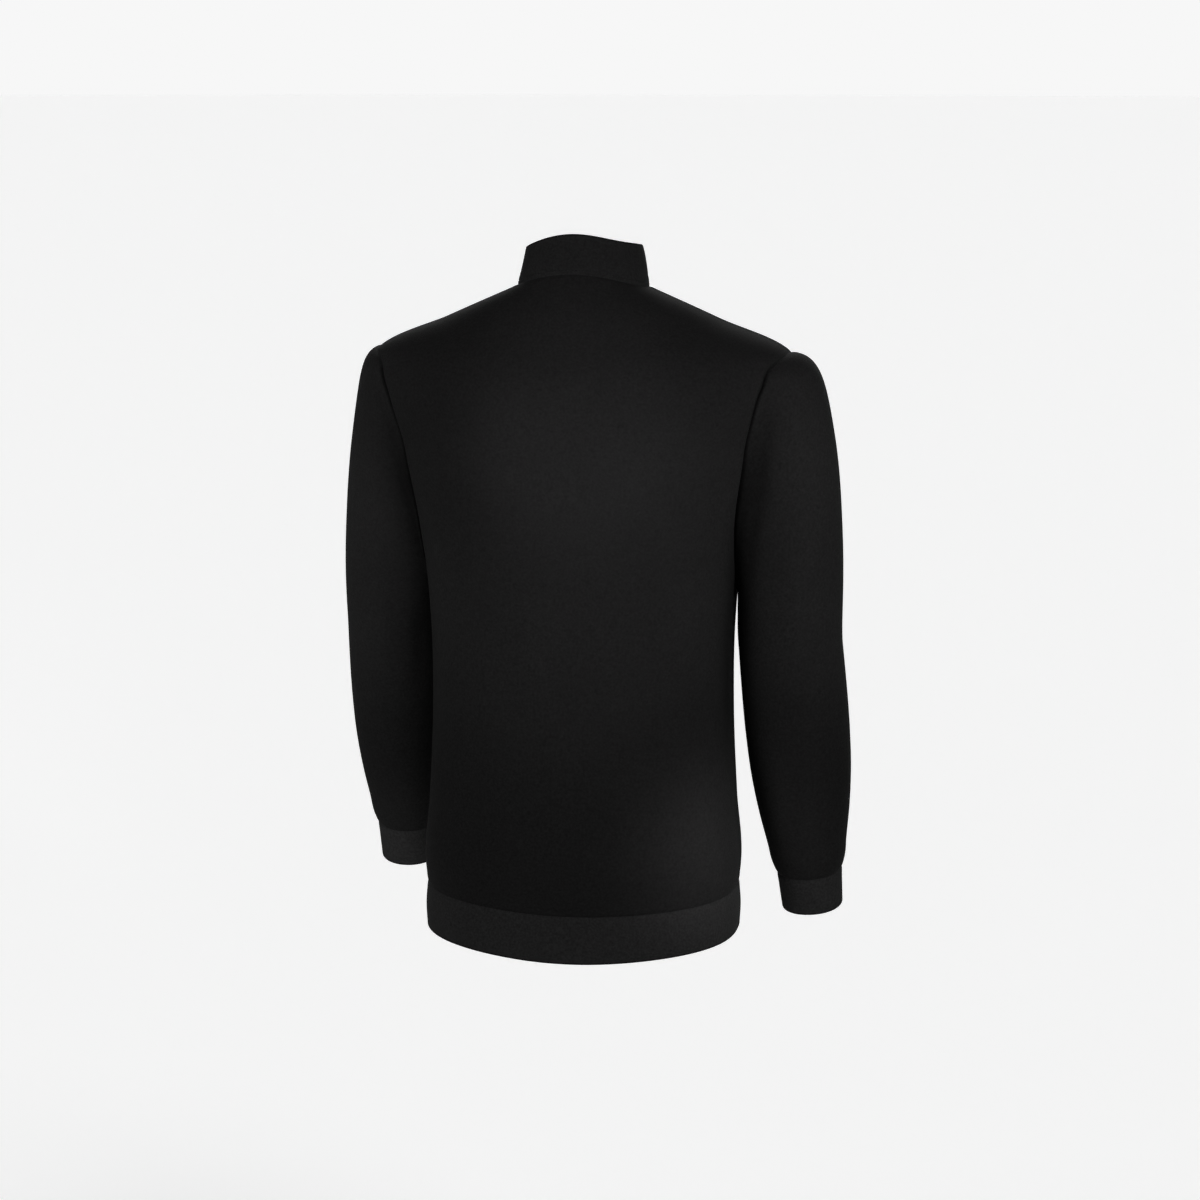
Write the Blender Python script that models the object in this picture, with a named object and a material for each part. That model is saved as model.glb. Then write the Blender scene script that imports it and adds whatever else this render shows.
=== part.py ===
"""Track jacket in its worn shape, with no wearer: a back, two fronts, two set-in sleeves, a stand
collar, a hem band, two cuffs and a closed front zip whose pull tab swings.

Metres, +Z up. The jacket faces -Y, and its wearer's left side is +X. The origin is the middle of
the neck, level with the points where the collar meets the shoulder seams.
"""

import math
from collections import namedtuple

import bmesh
import bpy
import numpy as np
from mathutils import Matrix

# Cloth
BODY_CLOTH = 0.0016  # smooth double knit of the back, the fronts and the sleeves
BAND_CLOTH = 0.0024  # the same knit folded double, in the collar, hem band and cuffs
SEAM_GAP = 0.0003  # between neighbouring pieces
LONGEST_MITRE = 2.0  # a wall's slant at a sharp seam, as a multiple of its thickness

# Sections round the body. Heights are given at the side, at the centre back and at the centre
# front, depths at the centre back and front. square is the superellipse exponent of the back and
# of the front half: 2 is an ellipse. level runs from 0 to 1, upwards, in each table.
Section = namedtuple(
    "Section",
    "level side_z back_z front_z half_width back_y front_y back_square front_square",
)
HEM_BAND = [
    Section(0.00, -0.678, -0.691, -0.674, 0.166, 0.119, 0.117, 2.5, 2.5),
    Section(0.50, -0.654, -0.665, -0.650, 0.167, 0.120, 0.118, 2.5, 2.5),
    Section(1.00, -0.630, -0.640, -0.626, 0.165, 0.119, 0.116, 2.5, 2.5),
]
TORSO = [
    Section(0.00, -0.630, -0.640, -0.626, 0.165, 0.119, 0.116, 2.5, 2.5),
    Section(0.03, -0.610, -0.619, -0.606, 0.167, 0.122, 0.119, 2.5, 2.5),
    Section(0.15, -0.535, -0.541, -0.532, 0.162, 0.121, 0.119, 2.5, 2.5),
    Section(0.30, -0.440, -0.443, -0.438, 0.158, 0.117, 0.119, 2.5, 2.4),
    Section(0.45, -0.345, -0.345, -0.345, 0.159, 0.122, 0.124, 2.5, 2.4),
    Section(0.60, -0.250, -0.245, -0.255, 0.169, 0.130, 0.129, 2.5, 2.4),
    Section(0.72, -0.165, -0.160, -0.180, 0.188, 0.130, 0.123, 2.6, 2.5),
    Section(0.84, -0.068, -0.080, -0.112, 0.216, 0.115, 0.107, 2.5, 2.4),
    Section(0.92, -0.032, -0.028, -0.078, 0.140, 0.093, 0.089, 2.2, 2.2),
    Section(1.00, 0.000, 0.016, -0.050, 0.068, 0.066, 0.070, 2.1, 2.1),
]
COLLAR = [
    Section(0.00, 0.000, 0.016, -0.050, 0.068, 0.066, 0.070, 2.1, 2.1),
    Section(0.50, 0.020, 0.036, -0.027, 0.063, 0.061, 0.070, 2.1, 2.1),
    Section(1.00, 0.039, 0.056, -0.004, 0.059, 0.056, 0.070, 2.1, 2.1),
]

# Armhole of the left side, all round from the shoulder tip by way of the back. torso_angle is
# 0 at the side and positive towards the back; level is the torso table's.
Armhole = namedtuple("Armhole", "turn torso_angle level")
ARMHOLE = [
    Armhole(0, 0.0, 0.845),
    Armhole(15, 13.0, 0.839),
    Armhole(45, 21.0, 0.800),
    Armhole(90, 19.5, 0.710),
    Armhole(135, 15.0, 0.600),
    Armhole(180, 0.0, 0.505),
    Armhole(225, -15.0, 0.600),
    Armhole(270, -24.0, 0.700),
    Armhole(315, -20.0, 0.790),
    Armhole(345, -13.0, 0.833),
]

# Sleeve sections along the arm's line, from the shoulder joint (share 0) to the cuff seam.
SleeveSection = namedtuple("SleeveSection", "share across fore_aft")
SLEEVE = [
    SleeveSection(0.55, 0.0540, 0.0605),
    SleeveSection(0.60, 0.0545, 0.060),
    SleeveSection(0.72, 0.0545, 0.058),
    SleeveSection(0.80, 0.0525, 0.055),
    SleeveSection(0.88, 0.0475, 0.050),
    SleeveSection(0.94, 0.0420, 0.045),
    SleeveSection(0.98, 0.0385, 0.041),
    SleeveSection(1.00, 0.0345, 0.037),
]
SLEEVE_SQUARE = 2.1
UPPER_ARM = 0.270
FOREARM = 0.283  # elbow to cuff seam
ELBOW_LENGTH = 0.12  # of the arm's line that bends
SHOULDER_JOINT = (0.205, 0.000, -0.070)
CAP_AROUND = 0.15  # of the torso's turn from front to back that the cap carries on with
CAP_ROUNDING = 0.25  # how strongly the cap's corners between armhole and arm are rounded off
CAP_ROUNDED = 0.42  # share of the cap at each end over which the rounding comes and goes
UNDERARM_PULL = 0.06  # how far the sleeve carries on from the armhole under the arm
UNDERARM_FALL = 0.03  # how far above the first section it already hangs straight there
UNDERARM_LEAVE = (0.3, -0.1, -0.95)
CUFF_HEIGHT = 0.040
CUFF_TAPER = 0.93  # of its width, from the cuff seam to its edge

# How each arm hangs, in degrees from straight down, and its sleeve's cap at the shoulder tip: how
# far it carries on from the armhole, how much it lifts there, and how far above the first section
# it already hangs straight. The left arm swings further forward, which pulls its cap shorter.
Arm = namedtuple(
    "Arm",
    "upper_forward upper_outward fore_forward fore_outward cap_pull cap_lift cap_fall",
)
LEFT_ARM = Arm(14, 2.5, 14, 1.0, cap_pull=0.155, cap_lift=0.66, cap_fall=0.14)
RIGHT_ARM = Arm(1, 2.1, 8, 4.45, cap_pull=0.25, cap_lift=0.72, cap_fall=0.22)

# Zip, straight down the centre front. Depths are behind the cloth's outer surface.
ZIP_HALF_GAP = 0.0034  # from the centre front to the edge of a front
CHAIN_HALF_WIDTH = 0.0026
CHAIN_FRONT = 0.0002
CHAIN_BACK = 0.0006  # behind the front face of the tapes
TAPE_EDGES = (0.0029, 0.0130)  # distances from the centre front
TAPE_BEHIND_BAND = 0.0030
TAPE_BEHIND_FRONT = 0.0022
TAPE_BEHIND_COLLAR = 0.0034
TAPE_CLOTH = 0.0010
BOX_HEIGHT = 0.010
BOX_FRONT = -0.0006

# Slider and pull tab, at the top of the closed zip. Heights are from the collar's top edge, and
# depths are from the collar's outer surface, positive towards the wearer.
SLIDER_TOP = 0.002
SLIDER_LENGTH = 0.014
SLIDER_WIDTH = 0.0090
SLIDER_LOWER_WIDTH = 0.0068
SLIDER_FRONT = (-0.0020, -0.0004)  # depths of the front plate
SLIDER_BACK = (0.0048, 0.0062)  # depths of the back plate
SLIDER_ROUNDING = 0.0014
WEDGE_WIDTH = 0.0040
WEDGE_HEIGHT = 0.006
CROWN_WIDTH = 0.0030
CROWN_LEG = 0.0014
CROWN_INSIDE = 0.0032  # height of its eye
CROWN_REACH = 0.0040  # in front of the front plate
CROWN_BAR = 0.0012
PULL_DROP = 0.008  # of the pull's axis below the collar's top edge
PULL_DEPTH = -0.0034
PULL_BAR_RADIUS = 0.0008
PULL_EYE_WIDTH = 0.0038
PULL_ARM_WIDTH = 0.0012
PULL_EYE_DROP = 0.0070  # from the axis to the tab
PULL_WIDTH = 0.0070
PULL_LENGTH = 0.023  # of the tab below its eye
PULL_CLOTH = 0.0014
PULL_ROUNDING = 0.0024

# Mesh density
SIDE_ROWS = 15
ARMHOLE_ROWS = 10  # in half of the armhole
SHOULDER_COLUMNS = 7
NECK_COLUMNS = 6  # in a quarter of the neck
COLLAR_ROWS = 3
BAND_ROWS = 2
CAP_ROWS = 10
TUBE_ROWS = 14
TOP_BLEND = 5  # how late a panel's rows bend up towards the shoulders and the neck

SIDE_SEAM = SIDE_ROWS + ARMHOLE_ROWS
ROUND_SLEEVE = 2 * ARMHOLE_ROWS
HALF_HEM = SHOULDER_COLUMNS + NECK_COLUMNS


def hermite(start, start_pull, end, end_pull, t):
    return (
        (2 * t**3 - 3 * t**2 + 1) * start
        + (t**3 - 2 * t**2 + t) * start_pull
        + (3 * t**2 - 2 * t**3) * end
        + (t**3 - t**2) * end_pull
    )


def row_at(table, key):
    """The row at a key on the smooth curve through a table's rows, whose first column is the key."""
    rows = np.array(table, float)
    keys = rows[:, 0]
    steps = np.diff(keys)[:, None]
    slopes = np.diff(rows, axis=0) / steps
    tangents = np.vstack((slopes[:1], slopes[:1].repeat(len(rows) - 2, axis=0), slopes[-1:]))
    tangents[1:-1] = (slopes[:-1] * steps[1:] + slopes[1:] * steps[:-1]) / (steps[:-1] + steps[1:])
    i = int(np.clip(np.searchsorted(keys, key) - 1, 0, len(steps) - 1))
    h = steps[i, 0]
    t = (key - keys[i]) / h
    return type(table[0])(*hermite(rows[i], tangents[i] * h, rows[i + 1], tangents[i + 1] * h, t))


def unit(v):
    return v / np.maximum(np.linalg.norm(v, axis=-1, keepdims=True), 1e-9)


def oval(turn, half_width, depth, square):
    """Offsets across and aft of a superellipse's point at a turn in degrees."""
    c, s = math.cos(math.radians(turn)), math.sin(math.radians(turn))
    radius = (abs(c / half_width) ** square + abs(s / depth) ** square) ** (-1 / square)
    return radius * c, radius * s


def body_point(table, angle, level):
    """Point of a ring round the body: angle 0 is its left side, 90 the back, 180 the right side
    and -90 the front."""
    row = row_at(table, level)
    s = math.sin(math.radians(angle))
    if s >= 0:
        x, y = oval(angle, row.half_width, row.back_y, row.back_square)
        end_z = row.back_z
    else:
        x, y = oval(angle, row.half_width, row.front_y, row.front_square)
        end_z = row.front_z
    return np.array([x, y, row.side_z + (end_z - row.side_z) * s * s])


def body_normal(table, angle, level):
    turn, rise = 0.5, 0.004
    low, high = max(level - rise, 0.0), min(level + rise, 1.0)
    around = body_point(table, angle + turn, level) - body_point(table, angle - turn, level)
    up = body_point(table, angle, high) - body_point(table, angle, low)
    return unit(np.cross(around, up))


def front_angle(table, level, x):
    """Angle of the ring's point that is x to the left of the centre front."""
    row = row_at(table, level)
    across = (x / row.half_width) ** row.front_square
    return -math.degrees(math.atan2(row.front_y * (1 - across) ** (1 / row.front_square), x))


class Cloth:
    """A piece of cloth: a grid of points on its outer side and the wall behind them."""

    def __init__(self, points, normals, thickness, closed=False):
        self.points = points
        self.normals = normals
        self.thickness = thickness
        self.closed = closed
        self.inward = -thickness * normals

    def mirrored(self):
        flip = np.array([-1.0, 1.0, 1.0])
        return Cloth(self.points * flip, self.normals * flip, self.thickness, self.closed)

    def pull_back(self, first_row=False, last_row=False, first_column=False, last_column=False):
        """Moves the edges that are sewn to a neighbour back by half a seam's gap."""
        before = self.points.copy()
        if first_row:
            self.points[0] += edge_shift(before[0], before[1], self.closed)
        if last_row:
            self.points[-1] += edge_shift(before[-1], before[-2], self.closed)
        if first_column:
            self.points[:, 0] += edge_shift(before[:, 0], before[:, 1], False)
        if last_column:
            self.points[:, -1] += edge_shift(before[:, -1], before[:, -2], False)


def edge_shift(edge, inner, closed):
    if closed:
        along = np.roll(edge, -1, axis=0) - np.roll(edge, 1, axis=0)
    else:
        along = np.gradient(edge, axis=0)
    along = unit(along)
    into = inner - edge
    into = into - along * np.sum(into * along, axis=1, keepdims=True)
    return unit(into) * SEAM_GAP / 2


def mitre(cloth, places, other, other_places):
    """At a seam, two walls lean along their shared direction, so that neither crosses the other."""
    for place, other_place in zip(places, other_places):
        shared = unit(cloth.normals[place] + other.normals[other_place])
        for piece, at in ((cloth, place), (other, other_place)):
            stretch = 1 / max(float(shared @ piece.normals[at]), 1 / LONGEST_MITRE)
            piece.inward[at] = -piece.thickness * stretch * shared


def armhole_at(turn):
    """(torso angle, level) of the left armhole, which is a closed smooth curve."""
    rounds = [row._replace(turn=row.turn + shift) for shift in (-360, 0, 360) for row in ARMHOLE]
    row = row_at(rounds, turn % 360)
    return row.torso_angle, row.level


def side_edge(towards_front):
    """A panel's outer edge: up the side seam, then round its half of the armhole."""
    underarm = armhole_at(180)[1]
    edge = [(0.0, underarm * i / SIDE_ROWS) for i in range(SIDE_ROWS + 1)]
    for i in range(1, ARMHOLE_ROWS + 1):
        swing = 180 * i / ARMHOLE_ROWS
        edge.append(armhole_at(180 + swing if towards_front else 180 - swing))
    return np.array(edge)


def shoulder_seam(angle):
    tip = armhole_at(0)[1]
    return [(angle, tip + (1 - tip) * i / SHOULDER_COLUMNS) for i in range(SHOULDER_COLUMNS + 1)]


def panel(start, end, top):
    """A torso panel between two side edges and its top edge, all as (angle, level) pairs. Its rows
    run straight across low down, and bend up near the top to meet the shoulders and the neck."""
    rows, columns = len(start) - 1, len(top) - 1
    points, normals = [], []
    for i in range(rows + 1):
        late = (i / rows) ** TOP_BLEND
        for j in range(columns + 1):
            u = j / columns
            top_share = (top[j, 0] - top[0, 0]) / (top[-1, 0] - top[0, 0])
            across = (1 - late) * u + late * top_share
            lift = top[j, 1] - (top[0, 1] * (1 - u) + top[-1, 1] * u)
            angle = start[i, 0] + (end[i, 0] - start[i, 0]) * across
            level = start[i, 1] + (end[i, 1] - start[i, 1]) * u + late * lift
            points.append(body_point(TORSO, angle, level))
            normals.append(body_normal(TORSO, angle, level))
    shape = (rows + 1, columns + 1, 3)
    return Cloth(np.reshape(points, shape), np.reshape(normals, shape), BODY_CLOTH)


def back_panel():
    start = side_edge(towards_front=False)
    end = start * (-1, 1) + (180, 0)
    neck = [(90 * i / NECK_COLUMNS, 1.0) for i in range(1, 2 * NECK_COLUMNS)]
    top = shoulder_seam(0.0) + neck + shoulder_seam(180.0)[::-1]
    return panel(start, end, np.array(top))


def zip_levels():
    """Levels at which a front's rows reach the zip."""
    start = side_edge(towards_front=True)
    rise = 1 - armhole_at(0)[1]
    return [row[1] + rise * (i / SIDE_SEAM) ** TOP_BLEND for i, row in enumerate(start)]


def left_front():
    """From its side seam to its zip edge."""
    zip_edge = [(front_angle(TORSO, level, ZIP_HALF_GAP), level) for level in zip_levels()]
    last = zip_edge[-1][0]
    neck = [(last * i / NECK_COLUMNS, 1.0) for i in range(1, NECK_COLUMNS + 1)]
    top = np.array(shoulder_seam(0.0) + neck)
    return panel(side_edge(towards_front=True), np.array(zip_edge), top)


def band(table, quarter, half, rows):
    """A band round the body and open at the zip, from the left front round the back. quarter and
    half count its columns in a front and in the back."""
    points, normals = [], []
    for i in range(rows + 1):
        level = i / rows
        edge = front_angle(table, level, ZIP_HALF_GAP)
        angles = [edge * (quarter - j) / quarter for j in range(quarter)]
        angles += [180 * j / half for j in range(half)]
        angles += [180 - edge * j / quarter for j in range(quarter + 1)]
        points.append([body_point(table, angle, level) for angle in angles])
        normals.append([body_normal(table, angle, level) for angle in angles])
    return Cloth(np.array(points), np.array(normals), BAND_CLOTH)


def arm_line(arm):
    """Function of share that gives the arm's centre and its directions across, aft and along."""
    length = UPPER_ARM + FOREARM
    steps = 200
    centre = np.array(SHOULDER_JOINT)
    samples = []
    for i in range(steps + 1):
        bent = (length * i / steps - UPPER_ARM) / ELBOW_LENGTH + 0.5
        bent = min(max(bent, 0.0), 1.0)
        bent = bent * bent * (3 - 2 * bent)
        forward = arm.upper_forward + (arm.fore_forward - arm.upper_forward) * bent
        outward = arm.upper_outward + (arm.fore_outward - arm.upper_outward) * bent
        slope = (math.tan(math.radians(outward)), -math.tan(math.radians(forward)), -1.0)
        along = unit(np.array(slope))
        samples.append((centre, along))
        centre = centre + along * length / steps

    def at(share):
        centre, along = samples[round(share * steps)]
        across = unit(np.array([1.0, 0.0, 0.0]) - along[0] * along)
        return centre, across, np.cross(across, along), along

    return at


def sleeve_ring(line, share, section):
    """Points round a sleeve, from its outer side by way of the back."""
    centre, across, aft, _ = line(share)
    ring = []
    for j in range(ROUND_SLEEVE):
        x, y = oval(360 * j / ROUND_SLEEVE, section.across, section.fore_aft, SLEEVE_SQUARE)
        ring.append(centre + x * across + y * aft)
    return np.array(ring)


def over_under(over, under, turn):
    """Between a value at the shoulder tip and one under the arm."""
    share = (1 - math.cos(math.radians(turn))) / 2
    return over * (1 - share) + under * share


def cap_leave(arm, turn):
    """Direction and strength with which the sleeve leaves its armhole seam at a turn: it carries
    the torso's surface on over the shoulder, and turns away from the side under the arm."""
    normal = body_normal(TORSO, *armhole_at(turn))
    ahead = body_point(TORSO, *armhole_at(turn + 2)) - body_point(TORSO, *armhole_at(turn - 2))
    onward = np.cross(unit(ahead), normal) * (1.0, CAP_AROUND, 1.0) + (0.0, 0.0, arm.cap_lift)
    under = over_under(0.0, 1.0, turn)
    leave = unit(onward * (1 - under) + np.array(UNDERARM_LEAVE) * under**2)
    return leave * over_under(arm.cap_pull, UNDERARM_PULL, turn)


def smooth_step(t):
    t = min(max(t, 0.0), 1.0)
    return t * t * (3 - 2 * t)


def rounded(ring, share):
    """A ring of the cap with its corners rounded off, and its centre and main oval kept. Next to
    the armhole and next to the arm it is left as it is."""
    amount = smooth_step(share / CAP_ROUNDED) * smooth_step((1 - share) / CAP_ROUNDED)
    waves = np.fft.fft(ring, axis=0)
    order = np.abs(np.fft.fftfreq(len(ring), 1 / len(ring)))
    fade = np.exp(-np.maximum(order**2 - 1, 0) * CAP_ROUNDING)
    return np.fft.ifft(waves * (1 - amount * (1 - fade))[:, None], axis=0).real


def tube_normals(grid):
    """Outward directions of a left sleeve's or cuff's grid."""
    around = np.roll(grid, -1, axis=1) - np.roll(grid, 1, axis=1)
    return unit(np.cross(np.gradient(grid, axis=0), around))


def left_sleeve(arm):
    """A left sleeve on an arm, from its armhole to its cuff seam."""
    line = arm_line(arm)
    first = SLEEVE[0].share
    hang = sleeve_ring(line, first, SLEEVE[0])
    along = line(first)[3]
    turns = [360 * j / ROUND_SLEEVE for j in range(ROUND_SLEEVE)]
    armhole = np.array([body_point(TORSO, *armhole_at(turn)) for turn in turns])
    leave = np.array([cap_leave(arm, turn) for turn in turns])
    fall = np.array([along * over_under(arm.cap_fall, UNDERARM_FALL, turn) for turn in turns])
    rows = []
    for i in range(CAP_ROWS):
        rows.append(rounded(hermite(armhole, leave, hang, fall, i / CAP_ROWS), i / CAP_ROWS))
    for i in range(TUBE_ROWS + 1):
        share = first + (1 - first) * i / TUBE_ROWS
        rows.append(sleeve_ring(line, share, row_at(SLEEVE, share)))
    grid = np.array(rows)
    return Cloth(grid, tube_normals(grid), BODY_CLOTH, closed=True)


def left_cuff(arm):
    line = arm_line(arm)
    along = line(1.0)[3]
    wrist = SLEEVE[-1]
    rows = []
    for i in range(BAND_ROWS + 1):
        down = i / BAND_ROWS
        taper = 1 + (CUFF_TAPER - 1) * down
        section = wrist._replace(across=wrist.across * taper, fore_aft=wrist.fore_aft * taper)
        rows.append(sleeve_ring(line, 1.0, section) + along * CUFF_HEIGHT * down)
    grid = np.array(rows)
    return Cloth(grid, tube_normals(grid), BAND_CLOTH, closed=True)


def cut_pieces():
    """Every piece of cloth by its name, before it is sewn to its neighbours."""
    front, left, right = left_front(), left_sleeve(LEFT_ARM), left_sleeve(RIGHT_ARM)
    return {
        "back": back_panel(),
        "front_left": front,
        "front_right": front.mirrored(),
        "sleeve_left": left,
        "sleeve_right": right.mirrored(),
        "collar": band(COLLAR, NECK_COLUMNS, 2 * NECK_COLUMNS, COLLAR_ROWS),
        "hem_band": band(HEM_BAND, HALF_HEM, 2 * HALF_HEM, BAND_ROWS),
        "cuff_left": left_cuff(LEFT_ARM),
        "cuff_right": left_cuff(RIGHT_ARM).mirrored(),
    }


def sew(pieces):
    """Mitres the walls that meet at each seam, then opens the seams by their gap."""
    up = range(SIDE_ROWS, SIDE_SEAM + 1)
    edge = [(row, 0) for row in up]
    back_edge = [(row, 2 * HALF_HEM) for row in up]
    behind = [(0, SIDE_SEAM - row) for row in up]
    before = [(0, (ARMHOLE_ROWS + row - SIDE_ROWS) % ROUND_SLEEVE) for row in up]

    def across(row, first, last):
        step = 1 if last >= first else -1
        return [(row, column) for column in range(first, last + step, step)]

    neck, waist = SHOULDER_COLUMNS, HALF_HEM
    collar_end, hem_end = 4 * NECK_COLUMNS, 4 * HALF_HEM
    collar_back = across(0, NECK_COLUMNS, 3 * NECK_COLUMNS)
    hem_back = across(BAND_ROWS, HALF_HEM, 3 * HALF_HEM)
    cuff_seam = across(CAP_ROWS + TUBE_ROWS, 0, ROUND_SLEEVE - 1)
    cuff_top = across(0, 0, ROUND_SLEEVE - 1)
    seams = [
        ("back", edge, "sleeve_left", behind),
        ("back", back_edge, "sleeve_right", behind),
        ("front_left", edge, "sleeve_left", before),
        ("front_right", edge, "sleeve_right", before),
        ("back", across(SIDE_SEAM, neck, 2 * waist - neck), "collar", collar_back),
        ("front_left", across(SIDE_SEAM, neck, waist), "collar", across(0, NECK_COLUMNS, 0)),
        (
            "front_right", across(SIDE_SEAM, neck, waist),
            "collar", across(0, 3 * NECK_COLUMNS, collar_end),
        ),
        ("back", across(0, 0, 2 * waist), "hem_band", hem_back),
        ("front_left", across(0, 0, waist), "hem_band", across(BAND_ROWS, HALF_HEM, 0)),
        (
            "front_right", across(0, 0, waist),
            "hem_band", across(BAND_ROWS, 3 * HALF_HEM, hem_end),
        ),
        ("sleeve_left", cuff_seam, "cuff_left", cuff_top),
        ("sleeve_right", cuff_seam, "cuff_right", cuff_top),
    ]
    for name, places, other_name, other_places in seams:
        mitre(pieces[name], places, pieces[other_name], other_places)
    pieces["back"].pull_back(True, True, True, True)
    pieces["collar"].pull_back(first_row=True)
    pieces["hem_band"].pull_back(last_row=True)
    for side in ("left", "right"):
        pieces["front_" + side].pull_back(first_row=True, last_row=True, first_column=True)
        pieces["sleeve_" + side].pull_back(first_row=True, last_row=True)
        pieces["cuff_" + side].pull_back(first_row=True)


def zip_surface(x):
    """Points and outward directions up the front, x to the left of its middle, at the heights of
    the cloth's own rows."""
    runs = [
        (HEM_BAND, [i / BAND_ROWS for i in range(BAND_ROWS + 1)]),
        (TORSO, zip_levels()),
        (COLLAR, [i / COLLAR_ROWS for i in range(COLLAR_ROWS + 1)]),
    ]
    points, normals = [], []
    for table, levels in runs:
        for level in levels:
            angle = front_angle(table, level, abs(x))
            normal = body_normal(table, angle, level)
            if points and level == 0:
                normals[-1] = unit(normals[-1] + normal)
            else:
                points.append(body_point(table, angle, level))
                normals.append(normal)
    side = np.array([1.0 if x > 0 else -1.0, 1.0, 1.0])
    return np.array(points) * side, np.array(normals) * side


def tape_depths():
    """How far the tapes lie behind the outer surface, at the rows of zip_surface."""
    band_rows, collar_rows = BAND_ROWS + 1, COLLAR_ROWS + 1
    front_rows = SIDE_SEAM - 1
    depths = [TAPE_BEHIND_BAND] * band_rows + [TAPE_BEHIND_FRONT] * front_rows
    return np.array(depths + [TAPE_BEHIND_COLLAR] * collar_rows)[:, None, None]


def zip_strip(edges, front, back):
    """Upright strip of the zip between two distances from its middle and two depths."""
    surfaces = [zip_surface(x) for x in edges]
    points = np.stack([surface[0] for surface in surfaces], axis=1)
    normals = np.stack([surface[1] for surface in surfaces], axis=1)
    return Cloth(points - front * normals, normals, back - front)


def between(strip, low, high):
    """The stretch of an upright strip between two heights."""
    inner = strip.points + strip.inward
    heights = strip.points[:, 0, 2]
    inside = [z for z in heights if low + SEAM_GAP < z < high - SEAM_GAP]
    wanted = [low] + inside + [high]
    outer_part = np.empty((len(wanted), 2, 3))
    inner_part = np.empty((len(wanted), 2, 3))
    for column in range(2):
        for axis in range(3):
            outer_part[:, column, axis] = np.interp(wanted, heights, strip.points[:, column, axis])
            inner_part[:, column, axis] = np.interp(wanted, heights, inner[:, column, axis])
    part = Cloth(outer_part, np.zeros_like(outer_part), 0.0)
    part.inward = inner_part - outer_part
    return part


def zip_pieces():
    """The tapes, the chain and the retainer box."""
    tape_front = tape_depths()
    tape = zip_strip(TAPE_EDGES, tape_front, tape_front + TAPE_CLOTH)
    chain_edges = (CHAIN_HALF_WIDTH, -CHAIN_HALF_WIDTH)
    hem, collar_top = HEM_BAND[0].front_z, COLLAR[-1].front_z
    box_top = hem + BOX_HEIGHT
    chain_top = collar_top - SLIDER_TOP - WEDGE_HEIGHT - 2 * SEAM_GAP
    chain_back = tape_front + CHAIN_BACK
    chain = zip_strip(chain_edges, CHAIN_FRONT, chain_back)
    box = zip_strip(chain_edges, BOX_FRONT, chain_back)
    return {
        "zip_tape_left": tape,
        "zip_tape_right": tape.mirrored(),
        "zip_chain": between(chain, box_top + SEAM_GAP, chain_top),
        "zip_box": between(box, hem, box_top),
    }


def finish(name, color, roughness, metallic):
    material = bpy.data.materials.new(name)
    material.use_nodes = True
    material.diffuse_color = (*color, 1.0)
    shader = material.node_tree.nodes["Principled BSDF"]
    shader.inputs["Base Color"].default_value = (*color, 1.0)
    shader.inputs["Roughness"].default_value = roughness
    shader.inputs["Metallic"].default_value = metallic
    return material


def place(name, mesh, material, collection):
    """Makes an object of a bmesh."""
    bmesh.ops.recalc_face_normals(mesh, faces=mesh.faces)
    data = bpy.data.meshes.new(name)
    mesh.to_mesh(data)
    mesh.free()
    data.materials.append(material)
    piece = bpy.data.objects.new(name, data)
    collection.objects.link(piece)
    return piece


def wall(name, cloth, material, collection):
    """Solid between a cloth's outer points and those behind them. It is lofted here because at
    its seams it leans with its neighbour's wall and not along its own normals."""
    rows, columns = cloth.points.shape[:2]
    steps = columns if cloth.closed else columns - 1
    mesh = bmesh.new()
    outer = [[mesh.verts.new(point) for point in row] for row in cloth.points]
    inner = [[mesh.verts.new(point) for point in row] for row in cloth.points + cloth.inward]
    for skin in (outer, inner):
        for i in range(rows - 1):
            for j in range(steps):
                k = (j + 1) % columns
                face = mesh.faces.new((skin[i][j], skin[i][k], skin[i + 1][k], skin[i + 1][j]))
                face.smooth = True
    for i in (0, rows - 1):
        for j in range(steps):
            k = (j + 1) % columns
            mesh.faces.new((outer[i][j], outer[i][k], inner[i][k], inner[i][j]))
    if not cloth.closed:
        for j in (0, columns - 1):
            for i in range(rows - 1):
                mesh.faces.new((outer[i][j], outer[i + 1][j], inner[i + 1][j], inner[i][j]))
    return place(name, mesh, material, collection)


def block(name, size, centre, material, collection, lower_width=None, rounding=0.0):
    """Box, narrowed to a lower width where one is given, with its edges along Y rounded."""
    mesh = bmesh.new()
    bmesh.ops.create_cube(mesh, size=1.0)
    bmesh.ops.scale(mesh, vec=size, verts=mesh.verts)
    if lower_width:
        low = [vert for vert in mesh.verts if vert.co.z < 0]
        bmesh.ops.scale(mesh, vec=(lower_width / size[0], 1.0, 1.0), verts=low)
    if rounding:
        deep = [
            edge for edge in mesh.edges
            if abs(edge.verts[0].co.y - edge.verts[1].co.y) > size[1] / 2
        ]
        bmesh.ops.bevel(mesh, geom=deep, offset=rounding, segments=3, profile=0.5, affect="EDGES")
    bmesh.ops.translate(mesh, vec=centre, verts=mesh.verts)
    return place(name, mesh, material, collection)


def unite(body, parts):
    """Unites parts with a body, and removes them."""
    for part in parts:
        union = body.modifiers.new("union", "BOOLEAN")
        union.operation = "UNION"
        union.solver = "EXACT"
        union.object = part
    graph = bpy.context.evaluated_depsgraph_get()
    mesh = bpy.data.meshes.new_from_object(body.evaluated_get(graph))
    body.modifiers.clear()
    body.data = mesh
    for part in parts:
        bpy.data.objects.remove(part)
    return body


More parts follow.
